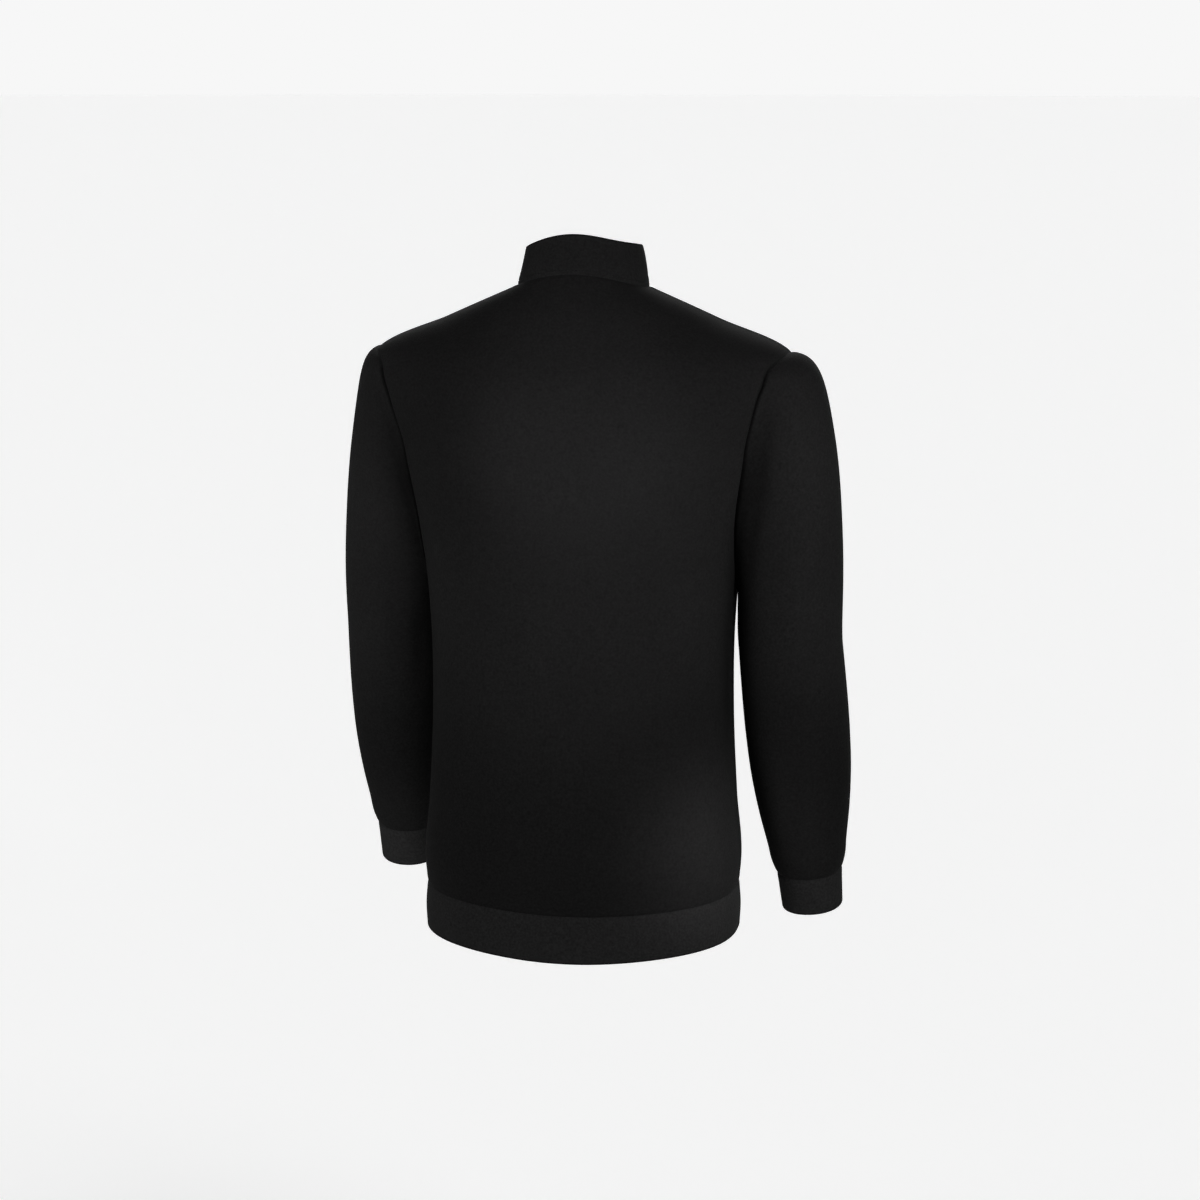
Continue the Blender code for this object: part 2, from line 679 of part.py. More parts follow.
def slider(material, collection):
    """Two plates on a wedge between the tapes, and a crown that holds the pull tab."""
    top = COLLAR[-1].front_z - SLIDER_TOP
    face = -COLLAR[-1].front_y
    middle = top - SLIDER_LENGTH / 2

    def plate(name, depths):
        size = (SLIDER_WIDTH, depths[1] - depths[0], SLIDER_LENGTH)
        centre = (0.0, face + sum(depths) / 2, middle)
        return block(
            name, size, centre, material, collection,
            lower_width=SLIDER_LOWER_WIDTH, rounding=SLIDER_ROUNDING,
        )

    front = plate("zip_slider", SLIDER_FRONT)
    back = plate("back_plate", SLIDER_BACK)
    bite = 0.0006  # how far one part reaches into another, so that they unite
    wedge_depths = (SLIDER_FRONT[1] - bite, SLIDER_BACK[0] + bite)
    wedge = block(
        "wedge",
        (WEDGE_WIDTH, wedge_depths[1] - wedge_depths[0], WEDGE_HEIGHT),
        (0.0, face + sum(wedge_depths) / 2, top - WEDGE_HEIGHT / 2),
        material, collection, lower_width=WEDGE_WIDTH / 2,
    )
    axis_z = COLLAR[-1].front_z - PULL_DROP
    plate_face = face + SLIDER_FRONT[0]
    legs = []
    for end in (-1, 1):
        legs.append(block(
            "crown_leg",
            (CROWN_WIDTH, CROWN_REACH - CROWN_BAR / 2 + bite, CROWN_LEG),
            (
                0.0,
                plate_face + (bite - CROWN_REACH + CROWN_BAR / 2) / 2,
                axis_z + end * (CROWN_INSIDE + CROWN_LEG) / 2,
            ),
            material, collection,
        ))
    bar = block(
        "crown_bar",
        (CROWN_WIDTH, CROWN_BAR, CROWN_INSIDE + 2 * CROWN_LEG),
        (0.0, plate_face - CROWN_REACH + CROWN_BAR / 2, axis_z),
        material, collection,
    )
    return unite(front, [back, wedge, bar] + legs)


def pull_tab(material, collection):
    """Tab on an eye round the slider's crown. Its origin is on the axis that it swings about."""
    tab = block(
        "zip_pull",
        (PULL_WIDTH, PULL_CLOTH, PULL_LENGTH),
        (0.0, 0.0, -PULL_EYE_DROP - PULL_LENGTH / 2),
        material, collection, rounding=PULL_ROUNDING,
    )
    parts = []
    arm_drop = PULL_EYE_DROP + PULL_ROUNDING
    for side in (-1, 1):
        parts.append(block(
            "pull_arm",
            (PULL_ARM_WIDTH, PULL_CLOTH, arm_drop),
            (side * (PULL_EYE_WIDTH + PULL_ARM_WIDTH) / 2, 0.0, -arm_drop / 2),
            material, collection,
        ))
    mesh = bmesh.new()
    bmesh.ops.create_cone(
        mesh, cap_ends=True, segments=16, radius1=PULL_BAR_RADIUS, radius2=PULL_BAR_RADIUS,
        depth=PULL_EYE_WIDTH + 2 * PULL_ARM_WIDTH,
        matrix=Matrix.Rotation(math.pi / 2, 4, "Y"),
    )
    parts.append(place("pull_bar", mesh, material, collection))
    pull = unite(tab, parts)
    pull.location = (0.0, -COLLAR[-1].front_y + PULL_DEPTH, COLLAR[-1].front_z - PULL_DROP)
    return pull


def main():
    for old in list(bpy.data.objects):
        bpy.data.objects.remove(old)
    jacket = bpy.data.collections.new("track_jacket")
    bpy.context.scene.collection.children.link(jacket)

    body_knit = finish("body_knit", (0.012, 0.012, 0.013), roughness=0.85, metallic=0.0)
    band_knit = finish("band_knit", (0.013, 0.013, 0.014), roughness=0.88, metallic=0.0)
    tape_weave = finish("tape_weave", (0.010, 0.010, 0.011), roughness=0.75, metallic=0.0)
    zip_plastic = finish("zip_plastic", (0.014, 0.014, 0.015), roughness=0.42, metallic=0.0)
    slider_metal = finish("slider_metal", (0.030, 0.030, 0.032), roughness=0.35, metallic=0.8)

    pieces = cut_pieces()
    sew(pieces)
    for name, cloth in pieces.items():
        wall(name, cloth, body_knit if cloth.thickness == BODY_CLOTH else band_knit, jacket)
    for name, cloth in zip_pieces().items():
        wall(name, cloth, tape_weave if "tape" in name else zip_plastic, jacket)
    slider(slider_metal, jacket)
    pull_tab(slider_metal, jacket)


if __name__ == "__main__":
    main()
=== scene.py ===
import math

import bmesh
import bpy
import numpy as np
from mathutils import Matrix, Vector, kdtree


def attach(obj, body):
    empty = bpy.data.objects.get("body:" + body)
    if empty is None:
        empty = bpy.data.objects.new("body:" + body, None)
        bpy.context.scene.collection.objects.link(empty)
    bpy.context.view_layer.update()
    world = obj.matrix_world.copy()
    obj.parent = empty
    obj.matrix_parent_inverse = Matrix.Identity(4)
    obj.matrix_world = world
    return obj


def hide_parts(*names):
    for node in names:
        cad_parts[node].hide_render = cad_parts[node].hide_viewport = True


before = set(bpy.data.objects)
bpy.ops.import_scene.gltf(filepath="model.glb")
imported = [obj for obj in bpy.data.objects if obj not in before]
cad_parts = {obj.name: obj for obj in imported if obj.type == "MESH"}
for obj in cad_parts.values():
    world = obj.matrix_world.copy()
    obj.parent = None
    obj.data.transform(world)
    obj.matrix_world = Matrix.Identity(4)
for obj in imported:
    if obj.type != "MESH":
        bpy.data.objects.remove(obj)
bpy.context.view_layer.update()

print("frame loaded with", len(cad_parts), "solids")


# lengths are in metres; +X is the wearer's left, -Y the zip front

def hermite(start, startPull, end, endPull, t):
    return (
        (2 * t**3 - 3 * t**2 + 1) * start + (t**3 - 2 * t**2 + t) * startPull
        + (3 * t**2 - 2 * t**3) * end + (t**3 - t**2) * endPull
    )


def rowsAt(table, keys):
    # rows of the smooth curve through a table whose first column is the key
    rows = np.array(table, float)
    stops = rows[:, 0]
    steps = np.diff(stops)[:, None]
    slopes = np.diff(rows, axis=0) / steps
    tangents = np.vstack((slopes[:1], slopes))
    tangents[1:-1] = (slopes[:-1] * steps[1:] + slopes[1:] * steps[:-1]) / (steps[:-1] + steps[1:])
    keys = np.asarray(keys, float)
    i = np.clip(np.searchsorted(stops, keys) - 1, 0, len(steps) - 1)
    h = steps[i]
    t = (keys - stops[i])[..., None] / h
    return hermite(rows[i], tangents[i] * h, rows[i + 1], tangents[i + 1] * h, t)


def unit(v):
    return v / np.maximum(np.linalg.norm(v, axis=-1, keepdims=True), 1e-12)


def hump(away, width):
    # 1 at no distance, fading out over the width
    return np.exp(-((away / width) ** 2))


def smoothStep(t):
    t = np.clip(t, 0, 1)
    return t * t * (3 - 2 * t)


def columnsAt(places, stops, values):
    return np.stack([np.interp(places, stops, column) for column in values.T], axis=-1)


def lengthAlong(points):
    return np.concatenate(([0], np.cumsum(np.linalg.norm(np.diff(points, axis=0), axis=1))))


def oval(turn, halfWidth, depth, square):
    c, s = np.cos(np.radians(turn)), np.sin(np.radians(turn))
    radius = (abs(c / halfWidth) ** square + abs(s / depth) ** square) ** (-1 / square)
    return radius * c, radius * s


def ringPoint(rings, angle, level):
    # angle 0 is the wearer's left side, 90 the back, 180 the right side and -90 the front
    angle, level = np.broadcast_arrays(np.asarray(angle, float), np.asarray(level, float))
    row = rowsAt(rings, level)
    s = np.sin(np.radians(angle))
    endZ, depth, square = (
        np.where(s >= 0, row[..., k], row[..., k + 1]) for k in (2, 5, 7)
    )
    x, y = oval(angle, row[..., 4], depth, square)
    return np.stack((x, y, row[..., 1] + (endZ - row[..., 1]) * s * s), axis=-1)


def ringNormal(rings, angle, level):
    low, high = np.maximum(level - 0.004, 0.0), np.minimum(level + 0.004, 1.0)
    around = ringPoint(rings, angle + 0.5, level) - ringPoint(rings, angle - 0.5, level)
    up = ringPoint(rings, angle, high) - ringPoint(rings, angle, low)
    return unit(np.cross(around, up))


def frontAngle(rings, level, x):
    # angle of the ring's point that is x to the left of the zip
    row = rowsAt(rings, level)
    across = (x / row[..., 4]) ** row[..., 8]
    return -np.degrees(np.arctan2(row[..., 6] * (1 - across) ** (1 / row[..., 8]), x))


besideSeam = np.array([0, 0.6, 1.2, 1.8, 2.5, 3.3, 4.3, 5.5, 7, 9]) / 1000


def shares(length, pitch, seamAtEnd=False):
    # shares of a length in steps of about the pitch, finer beside the seam at one end
    near = besideSeam[-1]
    even = np.linspace(near, length, max(2, round((length - near) / pitch) + 1))
    steps = np.concatenate((besideSeam[:-1], even)) / length
    return 1 - steps[::-1] if seamAtEnd else steps


# what a maker would change: the cut, the bands, the arms, the seams and the folds
jacketBody = {
    # level, side z, back z, front z, half width, back y, front y, back square, front square
    "rings": [
        (0.00, -0.630, -0.640, -0.626, 0.165, 0.119, 0.116, 2.5, 2.5),
        (0.03, -0.610, -0.619, -0.606, 0.167, 0.122, 0.119, 2.5, 2.5),
        (0.15, -0.535, -0.541, -0.532, 0.162, 0.121, 0.119, 2.5, 2.5),
        (0.30, -0.440, -0.443, -0.438, 0.158, 0.117, 0.119, 2.5, 2.4),
        (0.45, -0.345, -0.345, -0.345, 0.159, 0.122, 0.124, 2.5, 2.4),
        (0.60, -0.250, -0.245, -0.255, 0.169, 0.130, 0.129, 2.5, 2.4),
        (0.72, -0.165, -0.160, -0.180, 0.188, 0.130, 0.123, 2.6, 2.5),
        (0.84, -0.068, -0.080, -0.112, 0.216, 0.115, 0.107, 2.5, 2.4),
        (0.92, -0.032, -0.028, -0.078, 0.140, 0.093, 0.089, 2.2, 2.2),
        (1.00, 0.000, 0.016, -0.050, 0.068, 0.066, 0.070, 2.1, 2.1),
    ],
    # turn round the left armhole from the shoulder tip by way of the back, body angle, level
    "armhole": [
        (0, 0.0, 0.845), (15, 13.0, 0.839), (45, 21.0, 0.800), (90, 19.5, 0.710),
        (135, 15.0, 0.600), (180, 0.0, 0.505), (225, -15.0, 0.600), (270, -24.0, 0.700),
        (315, -20.0, 0.790), (345, -13.0, 0.833),
    ],
    "cloth": 0.0016,  # wall
    "pitch": 0.0045,  # of the mesh, away from the seams
    "bandPitch": 0.003,
    "runs": {"side": 0.37, "armhole": 0.30, "shoulder": 0.135, "neck": 0.115},
    "belowArmhole": 0.6,  # share of a panel's rows
    "shoulderShare": 7 / 13,  # share of half a panel's columns that end in the shoulder seam
    "lateRise": 5,  # how late the rows bend up towards shoulders and neck
    "zipEdge": 0.0034,  # from the middle of the front
    "zipStitches": 0.006,  # from that edge
}
standCollar = {
    "rings": [
        (0.00, 0.000, 0.016, -0.050, 0.068, 0.066, 0.070, 2.1, 2.1),
        (0.50, 0.020, 0.036, -0.027, 0.063, 0.061, 0.070, 2.1, 2.1),
        (1.00, 0.039, 0.056, -0.004, 0.059, 0.056, 0.070, 2.1, 2.1),
    ],
    "cloth": 0.0024,
    "height": 0.044,
    "outerHeight": 0.0415,  # along the cloth
    "stitchLine": 0.0043,  # above the neck seam
    "rightRise": 0.0042,  # of its top edge over the right shoulder
    "riseTurn": (14, 32),  # degrees back from the right side, and its width
}
hemBand = {
    "rings": [
        (0.00, -0.678, -0.691, -0.674, 0.166, 0.119, 0.117, 2.5, 2.5),
        (0.50, -0.654, -0.665, -0.650, 0.167, 0.120, 0.118, 2.5, 2.5),
        (1.00, -0.630, -0.640, -0.626, 0.165, 0.119, 0.116, 2.5, 2.5),
    ],
    "cloth": 0.0024,
    "height": 0.049,
}
sleeveShape = {
    # share of the arm's line, half width across, half depth
    "rings": [
        (0.55, 0.0540, 0.0605), (0.60, 0.0545, 0.060), (0.72, 0.0545, 0.058),
        (0.80, 0.0525, 0.055), (0.88, 0.0475, 0.050), (0.94, 0.0420, 0.045),
        (0.98, 0.0385, 0.041), (1.00, 0.0345, 0.037),
    ],
    "square": 2.1,
    "shoulderJoint": (0.205, 0.000, -0.070),
    "upperArm": 0.270,
    "foreArm": 0.283,
    "elbowLength": 0.12,
    "runs": {"cap": 0.25, "tube": 0.30},
    "capAround": 0.15,
    "capRounding": 0.25,  # of its corners between armhole and arm
    "capRounded": 0.42,  # share at each end over which the rounding comes and goes
    "underarmPull": 0.06,
    "underarmFall": 0.03,
    "underarmLeave": (0.3, -0.1, -0.95),
    "cuffTaper": 0.93,
}
armPose = {  # degrees from straight down, how the cap leaves its seam, and the cuff's height
    "Left": {"upper": (14, 2.5), "fore": (14, 1.0), "pull": 0.155, "lift": 0.66, "fall": 0.14,
             "cuff": 0.046},
    "Right": {"upper": (1, 2.1), "fore": (8, 4.45), "pull": 0.25, "lift": 0.72, "fall": 0.22,
              "cuff": 0.043},
}
seamLook = {
    "gap": 0.00004,
    "width": 0.0019,  # of the sewn valley, to each side
    "depth": {
        "armhole": 0.0018, "neck": 0.0007, "hem": 0.0008, "cuff": 0.0009,
        "shoulder": 0.0005, "side": 0.0005, "zip": 0.0007, "underarm": 0.0004,
    },
    "flatTip": (0.2, 6, 34),  # armhole's depth at the shoulder tip, and the turns it grows over
    "puff": 0.00035,  # the soft rise over the seam allowance
    "puffAt": 0.0052,
    "puffWidth": 0.0026,
    "fullPuff": 0.002,  # depth of a seam that has all of it
    "rubbed": 0.006,  # reach of the wear and of the painted shade beside a seam, which folds also keep away from
    "stitchDent": 0.0006,  # half width of the dent under a row of stitches
    "stitchShade": 0.0008,  # and of its shade
    "foldRub": 0.004,  # reach of the wear and of the painted shade beside a band's fold
    "foldFade": 0.55,  # how much of a crease is gone at its ends
    "tuckFrom": -0.11,  # height below which sleeve and body shade each other
    "tuckFade": 0.10,  # over which that comes in
    "tuckReach": 0.022,
}
# soft creases in millimetres: a bent line from, by way of and to, half its width, and its lift
softFolds = {
    "backPanel": [
        # a dip under the collar, the rise over the shoulder blades, dips beside the armholes
        ((105, 82, -52), (-21, 101, -46), (-130, 70, -58), 16, -4.0),
        ((75, 116, -98), (-27, 112, -70), (-115, 106, -102), 20, 3.8),
        ((158, 89, -100), (142, 92, -155), (122, 95, -232), 14, -2.2),
        ((-166, 85, -90), (-160, 81, -136), (-147, 72, -232), 13, -1.8),
        # the small of the back, the hip, and long soft runs down the cloth
        ((70, 113, -516), (-17, 120, -531), (-75, 112, -510), 30, -2.8),
        ((-126, 79, -470), (-146, 66, -550), (-150, 64, -600), 18, 1.8),
        ((42, 123, -300), (32, 117, -410), (8, 119, -500), 10, 1.1),
        ((-76, 121, -255), (-89, 108, -368), (-76, 110, -463), 12, -1.2),
        ((87, 109, -343), (94, 104, -439), (75, 113, -520), 9, 0.9),
        ((-33, 120, -337), (-49, 114, -430), (-43, 118, -503), 8, 0.8),
        ((140, 66, -296), (132, 78, -350), (112, 92, -392), 9, -1.0),
        ((-148, 56, -318), (-140, 68, -358), (-122, 84, -396), 10, -0.9),
    ],
    "sleeveRight": [
        # the soft break at the elbow, the runs above and below it, and beside the armhole
        ((-266, 18, -386), (-254, 34, -407), (-226, 43, -420), 10, 1.6),
        ((-272, 10, -431), (-254, 30, -441), (-224, 38, -440), 9, -1.4),
        ((-246, 48, -240), (-253, 41, -320), (-246, 40, -378), 10, 1.0),
        ((-222, 36, -470), (-226, 26, -520), (-219, 8, -580), 11, -1.2),
        ((-214, 60, -190), (-206, 56, -260), (-205, 46, -330), 12, -1.2),
        ((-206, 57, -104), (-185, 79, -155), (-178, 43, -288), 8, -2.6),
        # short creases in the bend of the arm
        ((-188, -62, -372), (-222, -73, -384), (-254, -58, -374), 7, -1.5),
        ((-180, -58, -412), (-208, -74, -420), (-236, -75, -410), 6, 1.0),
        ((-184, -48, -326), (-206, -60, -334), (-232, -58, -326), 9, -1.0),
        ((-222, -80, -500), (-238, -82, -540), (-240, -80, -575), 8, 0.8),
    ],
    "sleeveLeft": [
        ((258, -52, -446), (228, -37, -467), (200, -40, -474), 9, 1.3),
        ((255, -60, -486), (228, -51, -500), (202, -50, -497), 8, -1.3),
        ((210, 19, -250), (216, -10, -350), (221, -30, -425), 10, 1.0),
        ((184, -20, -345), (182, -36, -392), (190, -44, -442), 8, -1.2),
        ((194, 66, -106), (177, 78, -163), (166, 37, -267), 8, -2.8),
        ((190, -125, -362), (222, -141, -377), (252, -126, -372), 7, -1.6),
        ((180, -125, -408), (205, -142, -414), (238, -139, -401), 6, 1.1),
        ((176, -108, -320), (198, -118, -332), (226, -118, -328), 8, -1.1),
        ((205, -160, -505), (222, -166, -540), (226, -165, -576), 7, 0.8),
    ],
    "frontPanelLeft": [
        # dips beside the armhole, and soft runs towards the zip and the hem
        ((118, -100, -110), (124, -102, -170), (120, -100, -226), 13, -2.0),
        ((72, -120, -296), (76, -114, -364), (60, -114, -430), 10, 1.0),
        ((36, -117, -470), (44, -117, -526), (37, -119, -580), 9, -0.9),
        ((19, -128, -245), (28, -128, -275), (46, -126, -296), 7, 0.8),
        ((154, -34, -372), (146, -52, -420), (130, -74, -452), 10, -1.0),
    ],
    "frontPanelRight": [
        ((-112, -104, -122), (-126, -100, -178), (-124, -96, -240), 12, -1.8),
        ((-65, -123, -270), (-80, -114, -351), (-68, -113, -415), 11, -1.1),
        ((-34, -118, -440), (-42, -117, -514), (-33, -120, -570), 10, 0.9),
        ((-19, -124, -345), (-28, -122, -368), (-46, -120, -384), 6, 0.7),
        ((-152, -40, -360), (-143, -58, -402), (-126, -80, -440), 11, -1.1),
    ],
    "standCollar": [
        # slanting wrinkles near its ends, and the bulge over the right shoulder
        ((44.5, 46, 21), (33, 55, 28), (21, 58, 34), 3.0, 1.0),
        ((49.0, 40, 27), (37, 48, 34), (28, 53, 39), 2.8, -0.7),
        ((-58, 18, 37), (-59, 18, 26), (-59, 25, 16), 3.0, 0.7),
        ((-62, 0, 12), (-62, -4, 28), (-58, -6, 46), 24, 2.4),
        ((50, -34, 10), (44, -43, 16), (34, -50, 24), 3.5, -0.6),
        ((-52, -32, 4), (-47, -40, 12), (-40, -46, 22), 3.5, 0.6),
    ],
}


def armholeAt(turn):
    rounds = [
        (row[0] + shift, *row[1:]) for shift in (-360, 0, 360) for row in jacketBody["armhole"]
    ]
    rows = rowsAt(rounds, np.asarray(turn, float) % 360)
    return rows[..., 1], rows[..., 2]


# rows and columns of the panels' meshes
pitch, bodyRuns = jacketBody["pitch"], jacketBody["runs"]
armpit, shoulderShare = jacketBody["belowArmhole"], jacketBody["shoulderShare"]
upArmhole = shares(bodyRuns["armhole"], pitch, seamAtEnd=True)
upSide = shares(bodyRuns["side"], pitch)
rowShares = np.concatenate((armpit * upSide, armpit + (1 - armpit) * upArmhole[1:]))
seamRows = len(rowShares) - len(upArmhole)  # first row of the armhole
shoulderColumns = shoulderShare * shares(bodyRuns["shoulder"], pitch)
toBackMiddle = shoulderShare + (1 - shoulderShare) * np.linspace(0, 1, 27)
toZip = shoulderShare + (1 - shoulderShare) * shares(bodyRuns["neck"], pitch, seamAtEnd=True)
halfBack = np.concatenate((shoulderColumns, toBackMiddle[1:]))
frontColumns = np.concatenate((shoulderColumns, toZip[1:]))
backColumns = np.concatenate((halfBack / 2, 1 - halfBack[-2::-1] / 2))
neckColumn = len(shoulderColumns) - 1  # where the shoulder seam meets the neck
# columns of a sleeve, from the underarm by way of the front to the shoulder tip and the back
sleeveTurns = np.concatenate((-180 * (1 - upArmhole), 180 * (1 - upArmhole[-2::-1])))

# index of each edge of a grid of cloth, and of the line beside it
clothEdges = {
    "bottom": (0, 1), "top": (-1, -2),
    "first": (np.s_[:, 0], np.s_[:, 1]), "last": (np.s_[:, -1], np.s_[:, -2]),
}


def cloth(points, normals):
    # a grid of outer points, with a depth and a leaning direction for the seam at each edge
    seams = {
        side: (np.zeros(len(normals[edge])), normals[edge].copy())
        for side, (edge, _) in clothEdges.items()
    }
    return {"points": points, "normals": normals, "seams": seams}


def mirrored(piece):
    flip = np.array([-1.0, 1.0, 1.0])
    return cloth(piece["points"] * flip, piece["normals"] * flip)


def sideEdge(towardsFront):
    # up the side seam, then round that half of the armhole
    low = rowShares[:seamRows] / armpit
    straight = np.stack((np.zeros(seamRows), low * armholeAt(180)[1]), axis=1)
    swing = 180 * upArmhole
    around = np.stack(armholeAt(180 + swing if towardsFront else 180 - swing), axis=1)
    return np.vstack((straight, around))


def topEdge(columns, neckEnd):
    # along the shoulder seam, then along the neck
    tip = armholeAt(0)[1]
    level = tip + (1 - tip) * np.minimum(columns / shoulderShare, 1)
    angle = neckEnd * np.maximum(columns - shoulderShare, 0) / (1 - shoulderShare)
    return np.stack((angle, level), axis=1)


def bodyPanel(start, end, top, columns):
    late = rowShares[:, None] ** jacketBody["lateRise"]
    topShare = (top[:, 0] - top[0, 0]) / (top[-1, 0] - top[0, 0])
    across = (1 - late) * columns + late * topShare
    lift = top[:, 1] - (top[0, 1] * (1 - columns) + top[-1, 1] * columns)
    angle = start[:, :1] + (end[:, :1] - start[:, :1]) * across
    level = start[:, 1:] + (end[:, 1:] - start[:, 1:]) * columns + late * lift
    return ringCloth(jacketBody["rings"], angle, level)


def ringCloth(rings, angle, level):
    return cloth(ringPoint(rings, angle, level), ringNormal(rings, angle, level))


def backPanel():
    start = sideEdge(towardsFront=False)
    half = topEdge(halfBack, 90.0)
    top = np.vstack((half, half[-2::-1] * (-1, 1) + (180, 0)))
    return bodyPanel(start, start * (-1, 1) + (180, 0), top, backColumns)


def leftFrontPanel():
    start = sideEdge(towardsFront=True)
    level = start[:, 1] + (1 - armholeAt(0)[1]) * rowShares ** jacketBody["lateRise"]
    angle = frontAngle(jacketBody["rings"], level, jacketBody["zipEdge"])
    top = topEdge(frontColumns, angle[-1])
    return bodyPanel(start, np.stack((angle, level), axis=1), top, frontColumns)


def bandRound(rings, levels, frontShares, backShares):
    # from the left side of the zip round the back to its right side
    level = levels[:, None]
    edge = frontAngle(rings, level, jacketBody["zipEdge"])
    behind = np.broadcast_to(180 * backShares[:-1], (len(levels), len(backShares) - 1))
    around = (edge * frontShares[None, :0:-1], behind, 180 - edge * frontShares)
    return ringCloth(rings, np.concatenate(around, axis=1), level)


def armLine(pose, share):
    # centre of the arm and its directions across, aft and along, at shares of its length
    upper, steps = sleeveShape["upperArm"], 200
    length = upper + sleeveShape["foreArm"]
    count = np.arange(steps + 1)
    bent = smoothStep((length * count / steps - upper) / sleeveShape["elbowLength"] + 0.5)[:, None]
    hang = np.radians(np.array(pose["upper"]) * (1 - bent) + np.array(pose["fore"]) * bent)
    along = unit(np.stack((np.tan(hang[:, 1]), -np.tan(hang[:, 0]), -np.ones(steps + 1)), axis=1))
    centre = np.array(sleeveShape["shoulderJoint"]) + np.vstack(
        (np.zeros(3), np.cumsum(along[:-1], axis=0) * length / steps)
    )
    place = np.asarray(share, float) * steps
    centre, along = columnsAt(place, count, centre), unit(columnsAt(place, count, along))
    across = unit(np.array([1.0, 0.0, 0.0]) - along[..., :1] * along)
    return centre, across, np.cross(across, along), along


def sleeveRings(pose, share, halfWidth, halfDepth, turns):
    centre, across, aft, along = (v[:, None, :] for v in armLine(pose, share))
    x, y = oval(turns[None, :], halfWidth[:, None], halfDepth[:, None], sleeveShape["square"])
    return centre + x[..., None] * across + y[..., None] * aft, along


def capLeave(pose, turn, under):
    # how the sleeve leaves its seam: on over the shoulder, and outwards under the arm
    rings = jacketBody["rings"]
    ahead = ringPoint(rings, *armholeAt(turn + 2)) - ringPoint(rings, *armholeAt(turn - 2))
    onward = np.cross(unit(ahead), ringNormal(rings, *armholeAt(turn)))
    onward = onward * (1.0, sleeveShape["capAround"], 1.0) + (0.0, 0.0, pose["lift"])
    leave = unit(onward * (1 - under) + np.array(sleeveShape["underarmLeave"]) * under**2)
    return leave * (pose["pull"] * (1 - under) + sleeveShape["underarmPull"] * under)


def capRows(pose, turns, t):
    first, halfWidth, halfDepth = (np.array([v]) for v in sleeveShape["rings"][0])
    hang, along = sleeveRings(pose, first, halfWidth, halfDepth, turns)
    armhole = ringPoint(jacketBody["rings"], *armholeAt(turns))
    under = ((1 - np.cos(np.radians(turns))) / 2)[:, None]
    fall = along[0] * (pose["fall"] * (1 - under) + sleeveShape["underarmFall"] * under)
    return hermite(armhole, capLeave(pose, turns, under), hang[0], fall, t)


def roundedCap(pose, t):
    # its rings lose their corners and keep their middle and main oval
    even = np.linspace(-180, 180, 61)[:-1]
    waves = np.fft.fft(capRows(pose, even, t), axis=1) / len(even)
    order = np.fft.fftfreq(len(even), 1 / len(even))
    gone = 1 - np.exp(-np.maximum(order**2 - 1, 0) * sleeveShape["capRounding"])
    turning = np.exp(1j * np.radians(sleeveTurns + 180)[:, None] * order)
    corners = np.einsum("ck,rkx->rcx", turning, waves * gone[:, None]).real
    ends = sleeveShape["capRounded"]
    amount = smoothStep(t / ends) * smoothStep((1 - t) / ends)
    return capRows(pose, sleeveTurns, t) - amount * corners


def leftSleeve(pose):
    rings, runs = sleeveShape["rings"], sleeveShape["runs"]
    first = rings[0][0]
    cap = roundedCap(pose, shares(runs["cap"], pitch)[:-1, None, None])
    share = first + (1 - first) * shares(runs["tube"], pitch, seamAtEnd=True)
    size = rowsAt(rings, share)
    tube, _ = sleeveRings(pose, share, size[:, 1], size[:, 2], sleeveTurns)
    return roundCloth(np.concatenate((cap, tube)))


def leftCuff(pose):
    _, halfWidth, halfDepth = sleeveShape["rings"][-1]
    down = shares(pose["cuff"], jacketBody["bandPitch"])[:-1] * 0.9999
    taper = 1 + (sleeveShape["cuffTaper"] - 1) * down
    share = np.ones(len(down))
    points, along = sleeveRings(pose, share, halfWidth * taper, halfDepth * taper, sleeveTurns)
    return roundCloth(points + along * pose["cuff"] * down[:, None, None])


def roundCloth(points):
    # the first and last column are one line, the underarm seam
    wide = np.concatenate((points[:, -2:-1], points, points[:, 1:2]), axis=1)
    normals = unit(np.cross(np.gradient(points, axis=0), wide[:, 2:] - wide[:, :-2]))
    middle = points[:, :-1].mean(axis=1, keepdims=True)
    outwards = np.sum(normals * (points - middle)) >= 0
    return cloth(points, normals if outwards else -normals)


def seam(kind, one, side, places, other, otherSide, otherPlaces, share=1):
    # both pieces sink along one shared direction, so the seam stays shut
    depth = seamLook["depth"][kind] * share
    a, b = one["seams"][side], other["seams"][otherSide]
    shared = unit(a[1][places] + b[1][otherPlaces])
    a[0][places], b[0][otherPlaces] = depth, depth
    a[1][places], b[1][otherPlaces] = shared, shared


def distances(points):
    # along the cloth to each of its four edges
    up = np.linalg.norm(np.diff(points, axis=0), axis=2)
    over = np.linalg.norm(np.diff(points, axis=1), axis=2)
    rows, columns = points.shape[:2]
    fromBottom = np.vstack((np.zeros((1, columns)), np.cumsum(up, axis=0)))
    fromFirst = np.hstack((np.zeros((rows, 1)), np.cumsum(over, axis=1)))
    return {
        "bottom": fromBottom, "top": fromBottom[-1:] - fromBottom,
        "first": fromFirst, "last": fromFirst[:, -1:] - fromFirst,
    }


